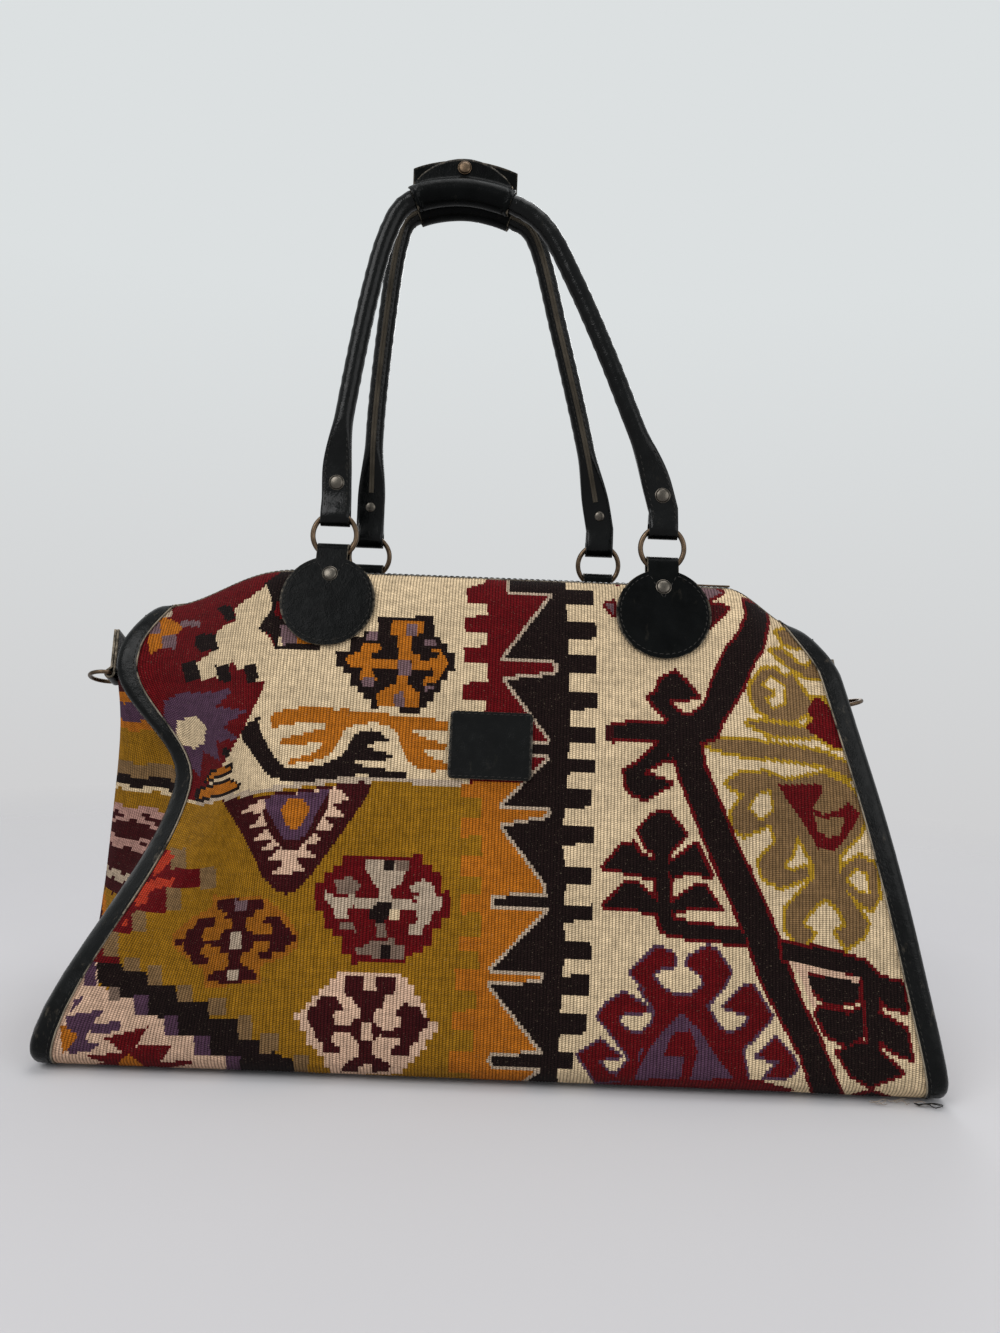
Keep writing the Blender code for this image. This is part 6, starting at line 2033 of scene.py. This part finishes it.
def make_snap(name, matrix, peak, side):
    """One half of the press stud, with a domed cap outside."""
    face = KEEPER_INNER - 1.5 * KEEPER_THICKNESS - 2 * GAP
    here = matrix @ Matrix.Translation((peak.x, 0.0, peak.y + SNAP_HEIGHT))
    mate = abs(here.translation.y) - GAP
    turn = here @ Matrix.Rotation(side * -math.pi / 2, 4, "X")
    profile = domed(SNAP_CAP / 2, -face, RIVET_DOME, RIVET_RIM)
    profile += [(SNAP_SHANK / 2, -face), (SNAP_SHANK / 2, -mate), (0.0, -mate)]
    made = lathe("domed_" + name, profile, turn, brass())
    dress(made, ("front" if side == FRONT else "back") + "_handle", "nickel", name)


SIDES = (
    ("front", FRONT, FRONT_CHAPE_X, FRONT_CHAPE_DROP),
    ("back", BACK, BACK_CHAPE_X, BACK_CHAPE_DROP),
)
ARCHES = {
    "front": (FRONT_LEFT_ARCH, FRONT_RIGHT_ARCH, FRONT_ARCH_PEAK),
    "back": (BACK_LEFT_ARCH, BACK_RIGHT_ARCH, BACK_ARCH_PEAK),
}


def handle_lean_line(side, drop):
    """The line of the chapes' loops, and the lean of rings and handle."""
    loop = chape_loop(0.0, drop, side)
    return loop, handle_lean(loop, side)


def handle_places():
    """For each handle its word, arches, ends, the frame at its eyes, its peak and its side."""
    for word, side, ends, drop in SIDES:
        loop, lean = handle_lean_line(side, drop)
        eye = loop + Vector((0.0, math.sin(lean), math.cos(lean))) * ring_to_eye()
        matrix = Matrix.Translation(eye) @ Matrix.Rotation(-lean, 4, "X")
        peak = Vector((PEAK_X, (PEAK_HEIGHT - eye.z) / math.cos(lean)))
        left, right, drawn_peak = ARCHES[word]
        arches = [fitted_arch(arch, drawn_peak, peak) for arch in (left, right)]
        yield word, arches, ends, matrix, peak, side


# The label and the strap rings

LABEL_COLUMNS = 22
LABEL_LEVELS = 28
LABEL_STITCH_INSET = 0.0016
LABEL_CORNER = 0.0032


def label_edge(inset):
    """Places round the label, an inset in from its edge, as runs of (x, z)."""
    half_width = LABEL_WIDTH / 2 - inset
    half_height = LABEL_HEIGHT / 2 - inset
    corners = [(-half_width, -half_height), (half_width, -half_height), (half_width, half_height),
               (-half_width, half_height)]
    for (ax, az), (bx, bz) in zip(corners, corners[1:] + corners[:1]):
        yield [(LABEL_X + mix(ax, bx, step / 10), LABEL_Z + mix(az, bz, step / 10)) for step in range(11)]


def make_label():
    rows = []
    out = LAY_GAP + LABEL_THICKNESS
    for level in range(LABEL_LEVELS + 1):
        z = LABEL_HEIGHT / 2 * math.sin(math.pi * (level / LABEL_LEVELS - 0.5))
        into_corner = max(abs(z) - LABEL_HEIGHT / 2 + LABEL_CORNER, 0.0)
        kept = math.sqrt(max(LABEL_CORNER ** 2 - into_corner ** 2, 0.0))
        width = LABEL_WIDTH - 2.0 * (LABEL_CORNER - kept)
        rows.append([face_spot(LABEL_X + width * (column / LABEL_COLUMNS - 0.5), LABEL_Z + z, out)
                     for column in range(LABEL_COLUMNS + 1)])
    made = leather_sheet("bare_label_patch", rows, LABEL_THICKNESS, handle_leather())
    dress(made, "bag", "leather", "label_patch")
    runs = []
    for edge in label_edge(LABEL_STITCH_INSET):
        points = [face_spot(x, z, out) for x, z in edge]
        runs.append([(point, (0.0, -1.0, 0.1)) for point in points])
    stitched("label_stitches", runs, "bag", "leather")


TAB_COLUMNS_UP = 10
TAB_STITCH_TOP = -0.009
DRING_SIDES = 14


def make_strap_tab(word, matrix, inner):
    """The folded tab that holds a strap ring, sewn and riveted on the end."""
    start = [-DRING_TAB_LENGTH * (1.0 - step / TAB_COLUMNS_UP) for step in range(TAB_COLUMNS_UP)]
    path = fold_path(inner, STRAP_THICKNESS, 0.0, -DRING_TAB_LENGTH, start, -1)
    name = "dring_tab_" + word
    widths = [DRING_TAB_WIDTH / 2] * len(path)
    made = strap("sewn_" + name, path, widths, STRAP_THICKNESS, matrix, leather())
    dress(made, "bag", "leather", name)
    face = 1.5 * STRAP_THICKNESS + GAP
    wide = DRING_TAB_WIDTH / 2 - STITCH_FROM_EDGE * 0.8
    low = -DRING_TAB_LENGTH + STITCH_FROM_EDGE
    corners = [(wide, TAB_STITCH_TOP), (wide, low), (-wide, low), (-wide, TAB_STITCH_TOP)]
    normal = (matrix.to_3x3() @ Vector((0.0, 1.0, 0.0))).normalized()
    runs = [[(matrix @ Vector((x, face, z)), normal) for x, z in pair]
            for pair in zip(corners, corners[1:])]
    stitched(name + "_stitches", runs, "bag", "leather")
    rivet_at = -DRING_RIVET_HEIGHT - DRING_TAB_WIDTH * 0.2
    spot = matrix @ Matrix.Translation((0.0, 0.0, rivet_at)) @ TO_FACE
    name = "dring_rivet_" + word
    dress(rivet(name, spot, face + GAP, -STRAP_THICKNESS / 2, 0.0), "bag", "nickel", name)


def make_strap_ring(word, side):
    """A strap ring with one straight bar, and its tab."""
    here, up, out, across = end_frame(side)
    inner = DRING_WIRE / 2 + LAY_GAP
    origin = here + out * STRAP_THICKNESS / 2
    make_strap_tab(word, frame_matrix(origin, across, out, -up), inner)
    axis = origin + out * (inner + STRAP_THICKNESS / 2)
    bar = DRING_WIDTH / 2 - DRING_WIRE / 2
    reach = DRING_REACH - DRING_WIRE
    points = [Vector((bar * (1.0 - step), 0.0)) for step in (0.12, 0.5, 1.0, 1.5, 1.88)]
    for step in range(11):
        turn = math.pi * step / 10
        points.append(Vector((-bar * math.cos(turn), reach * (0.25 + 0.75 * math.sin(turn)))))
    closed = points[-2:] + points + points[:3]
    smooth = catmull(closed, [6] * (len(closed) - 1))[12:-12]
    line = [axis + across * point.x + out * point.y for point in smooth[:-1]]
    rings = swept(line, DRING_WIRE / 2, DRING_SIDES, True)
    made = shaped("cast_dring_" + word, rings, brass(), close_rows=True)
    dress(made, word + "_strap_ring", "antique_brass", "dring_" + word)


# The zip's chain

TOOTH_SIZE = (0.00125, 0.0030, 0.0021)
TOOTH_POINTS = ((-1, -1), (1, -1), (1, 1), (-1, 1))
TOOTH_LEVELS = ((-1.0, 0.72), (-0.7, 1.0), (0.6, 1.0), (1.0, 0.72))
TOOTH_FACES = (grid_faces(len(TOOTH_LEVELS), len(TOOTH_POINTS), close_columns=True)
               + [(3, 2, 1, 0), (12, 13, 14, 15)])
TOOTH_BACK = 0.72


def make_teeth():
    """Fine metal teeth on the two edges of the tape, each reaching between two of the other side."""
    pitch = sizes().tooth_pitch
    reach = panel_reach(BODY_HEIGHT)
    count = int(2.0 * reach / pitch) - 1
    depth = CHAIN_BELOW_TOP - TOOTH_SIZE[2] / 4
    long, wide, high = (size / 2 for size in TOOTH_SIZE)
    for word, side, phase in (("front", FRONT, 0.0), ("back", BACK, 0.5)):
        verts = []
        faces = []
        for number in range(count):
            share = ((number + phase + 0.5) / count) * 2.0 - 1.0
            here = mouth_point(share, side * wide * TOOTH_BACK, depth)
            along = (mouth_point(share + 0.004, side * wide * TOOTH_BACK, depth) - here).normalized()
            across = Vector((0.0, 1.0, 0.0))
            up = along.cross(across).normalized()
            start = len(verts)
            for level, scale in TOOTH_LEVELS:
                for x, y in TOOTH_POINTS:
                    verts.append(here + along * x * long * scale + across * y * wide * scale
                                 + up * high * level)
            faces += numbered(TOOTH_FACES, start)
        made = meshed("fine_zip_teeth_" + word, verts, faces, brass(), smooth=False)
        dress(made, "bag", "antique_brass", "zip_teeth_" + word)


# Floor, lights and camera

FLOOR_HALF = 1.7
FLOOR_STEPS = 48
FLOOR_FADE = (0.55, 1.45)
FLOOR_COLOUR = (189, 188, 189)
BACKDROP_LOW = (208, 208, 209)
BACKDROP_HIGH = (220, 224, 225)
BACKDROP_RISE = (-0.12, 0.35)


def make_stage():
    """A pale round floor that fades out into the backdrop, which is the world."""
    rim = [(FLOOR_HALF * math.cos(2.0 * math.pi * step / FLOOR_STEPS),
            FLOOR_HALF * math.sin(2.0 * math.pi * step / FLOOR_STEPS), 0.0) for step in range(FLOOR_STEPS)]
    made, tree, surface = shader("pale_floor", Roughness=0.95, Specular_IOR_Level=0.05)
    mottle = ranged(tree, noise(tree, 2.5, 2.0), 0.3, 0.7, 0.985, 1.01)
    tree.links.new(blended(tree, "MULTIPLY", 1.0, opaque(srgb(*FLOOR_COLOUR)), grey_of(tree, mottle)),
                   surface.inputs["Base Color"])
    place = add_node(tree, "ShaderNodeTexCoord").outputs["Object"]
    away = add_node(tree, "ShaderNodeVectorMath", [("Vector", place)], operation="LENGTH").outputs["Value"]
    tree.links.new(ranged(tree, away, *FLOOR_FADE, 1.0, 0.0), surface.inputs["Alpha"])
    meshed("floor", rim, [tuple(range(FLOOR_STEPS))], made, smooth=False)


LAMPS = (
    ("key", (-1.15, -1.55, 1.75), (0.0, 0.0, 0.28), 1.5, 32.0),
    ("fill", (1.55, -1.35, 0.95), (0.0, 0.0, 0.25), 1.6, 13.0),
    ("top", (0.15, -0.1, 2.1), (0.0, 0.0, 0.3), 1.4, 14.0),
    ("rear", (0.4, 1.9, 1.5), (0.0, 0.0, 0.3), 1.2, 14.0),
)
WORLD_LIGHT = 0.58
WORLD_TINT = (0.93, 0.95, 1.0)


def make_world():
    """Even light from all sides, and a pale backdrop for what is seen or mirrored."""
    world = bpy.data.worlds.new("studio")
    world.use_nodes = True
    tree = world.node_tree
    light = tree.nodes["Background"]
    light.inputs["Strength"].default_value = 1.0
    path = add_node(tree, "ShaderNodeLightPath").outputs
    mirrored = maths(tree, "MAXIMUM", path["Is Glossy Ray"], path["Is Transmission Ray"])
    seen = maths(tree, "MAXIMUM", path["Is Camera Ray"], mirrored)
    around = add_node(tree, "ShaderNodeTexCoord").outputs["Generated"]
    facing = add_node(tree, "ShaderNodeSeparateXYZ", [("Vector", around)]).outputs["Z"]
    rise = ranged(tree, facing, *BACKDROP_RISE, 0.0, 1.0)
    backdrop = blended(tree, "MIX", rise, opaque(srgb(*BACKDROP_LOW)), opaque(srgb(*BACKDROP_HIGH)))
    shown = blended(tree, "MIX", seen, opaque(WORLD_TINT, WORLD_LIGHT), backdrop)
    tree.links.new(shown, light.inputs["Color"])
    bpy.context.scene.world = world
    bpy.context.scene.view_settings.view_transform = "Standard"


def make_lights():
    for name, spot, target, size, power in LAMPS:
        lamp = bpy.data.lights.new(name + "_lamp", "AREA")
        lamp.shape = "DISK"
        lamp.size = size
        lamp.energy = power
        made = bpy.data.objects.new(name + "_lamp", lamp)
        bpy.context.scene.collection.objects.link(made)
        made.location = spot
        made.rotation_euler = (Vector(target) - Vector(spot)).to_track_quat("-Z", "Y").to_euler()
    make_world()


def make_camera():
    lens = bpy.data.cameras.new("photo_camera")
    lens.sensor_fit = "AUTO"
    lens.sensor_width = SENSOR_MM
    lens.lens = SENSOR_MM * FOCAL_PX / LONG_SIDE_PX
    lens.clip_start = 0.01
    made = bpy.data.objects.new("photo_camera", lens)
    bpy.context.scene.collection.objects.link(made)
    turned = Matrix(((math.cos(CAMERA_ROLL), -math.sin(CAMERA_ROLL), 0.0), (0.0, 0.0, -1.0),
                     (math.sin(CAMERA_ROLL), math.cos(CAMERA_ROLL), 0.0)))
    made.matrix_world = Matrix.Translation(CAMERA_AT) @ turned.to_4x4()
    bpy.context.scene.camera = made


# Operators, panel and main

DONE = {"FINISHED"}


class DUFFLE_OT_weave_body(bpy.types.Operator):
    """Weave the front, back and base panel with its pattern"""
    bl_idname = "duffle.weave_body"
    bl_label = "Weave the body"

    def execute(self, context):
        make_panels()
        return DONE


class DUFFLE_OT_weave_ends(bpy.types.Operator):
    """Weave the two banded ends"""
    bl_idname = "duffle.weave_ends"
    bl_label = "Weave the ends"

    def execute(self, context):
        make_end("woven_left_gusset", LEFT)
        make_end("woven_right_gusset", RIGHT)
        return DONE


class DUFFLE_OT_sew_bindings(bpy.types.Operator):
    """Sew the leather bindings over the seams, and fray the yarn at the right one's foot"""
    bl_idname = "duffle.sew_bindings"
    bl_label = "Sew the bindings"

    def execute(self, context):
        make_binding("left", LEFT)
        make_binding("right", RIGHT)
        make_loose_threads()
        return DONE


class DUFFLE_OT_make_zip(bpy.types.Operator):
    """Make the zip's facings, tapes and teeth, and plate its slider and pull"""
    bl_idname = "duffle.make_zip"
    bl_label = "Make the zip"

    def execute(self, context):
        make_zip_edges()
        make_teeth()
        for node in ("zip_slider", "zip_pull"):
            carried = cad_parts[node]
            carried.data.materials.clear()
            carried.data.materials.append(brass())
        return DONE


class DUFFLE_OT_sew_chapes(bpy.types.Operator):
    """Sew the round chapes and close their tabs with rivets"""
    bl_idname = "duffle.sew_chapes"
    bl_label = "Sew the chapes"

    def execute(self, context):
        for word, side, places, drop in SIDES:
            for end, x in zip(("left", "right"), places):
                make_chape(word + "_" + end, x, drop, side)
        return DONE


class DUFFLE_OT_cast_rings(bpy.types.Operator):
    """Cast the four round rings"""
    bl_idname = "duffle.cast_rings"
    bl_label = "Cast the rings"

    def execute(self, context):
        for word, side, places, drop in SIDES:
            loop, lean = handle_lean_line(side, drop)
            for end, x in zip(("left", "right"), places):
                make_ring(word + "_" + end, x, loop, lean)
        return DONE


class DUFFLE_OT_roll_handles(bpy.types.Operator):
    """Roll and sew the two handles"""
    bl_idname = "duffle.roll_handles"
    bl_label = "Roll the handles"

    def execute(self, context):
        for place in handle_places():
            make_handle(*place)
        return DONE


class DUFFLE_OT_make_keepers(bpy.types.Operator):
    """Wrap the keepers round the handles' tops and set the press stud"""
    bl_idname = "duffle.make_keepers"
    bl_label = "Make the keepers"

    def execute(self, context):
        for place, name in zip(handle_places(), ("snap_cap", "snap_stud")):
            make_keeper(*place)
            make_snap(name, *place[3:])
        return DONE


class DUFFLE_OT_sew_label(bpy.types.Operator):
    """Sew the bare leather patch on the front"""
    bl_idname = "duffle.sew_label"
    bl_label = "Sew the label"

    def execute(self, context):
        make_label()
        return DONE


class DUFFLE_OT_make_strap_rings(bpy.types.Operator):
    """Sew the strap rings' tabs on the ends"""
    bl_idname = "duffle.make_strap_rings"
    bl_label = "Make the strap rings"

    def execute(self, context):
        make_strap_ring("left", LEFT)
        make_strap_ring("right", RIGHT)
        return DONE


class DUFFLE_OT_set_stage(bpy.types.Operator):
    """Set the floor, the lights and the camera"""
    bl_idname = "duffle.set_stage"
    bl_label = "Set the stage"

    def execute(self, context):
        make_stage()
        make_lights()
        make_camera()
        return DONE


OPERATORS = (DUFFLE_OT_weave_body, DUFFLE_OT_weave_ends, DUFFLE_OT_sew_bindings, DUFFLE_OT_make_zip,
             DUFFLE_OT_sew_chapes, DUFFLE_OT_cast_rings, DUFFLE_OT_roll_handles, DUFFLE_OT_make_keepers,
             DUFFLE_OT_sew_label, DUFFLE_OT_make_strap_rings, DUFFLE_OT_set_stage)


class DUFFLE_PT_panel(bpy.types.Panel):
    """The steps that dress the bag, in order, with their sizes and colours"""
    bl_idname = "DUFFLE_PT_panel"
    bl_label = "Kilim duffle bag"
    bl_space_type = "VIEW_3D"
    bl_region_type = "UI"
    bl_category = "Duffle"

    def draw(self, context):
        column = self.layout.column()
        for step in OPERATORS:
            column.operator(step.bl_idname)
        for group in (context.scene.duffle_sizes, context.scene.duffle_colours):
            for key in group.__annotations__:
                column.prop(group, key)


CLASSES = (DuffleColours, DuffleSizes) + OPERATORS + (DUFFLE_PT_panel,)


def register():
    for made in CLASSES:
        bpy.utils.register_class(made)
    bpy.types.Scene.duffle_colours = bpy.props.PointerProperty(type=DuffleColours)
    bpy.types.Scene.duffle_sizes = bpy.props.PointerProperty(type=DuffleSizes)


def unregister():
    del bpy.types.Scene.duffle_sizes
    del bpy.types.Scene.duffle_colours
    for made in reversed(CLASSES):
        bpy.utils.unregister_class(made)


def main():
    register()
    for step in OPERATORS:
        getattr(bpy.ops.duffle, step.bl_idname.split(".")[1])()
    bpy.context.view_layer.update()


if __name__ == "__main__":
    main()
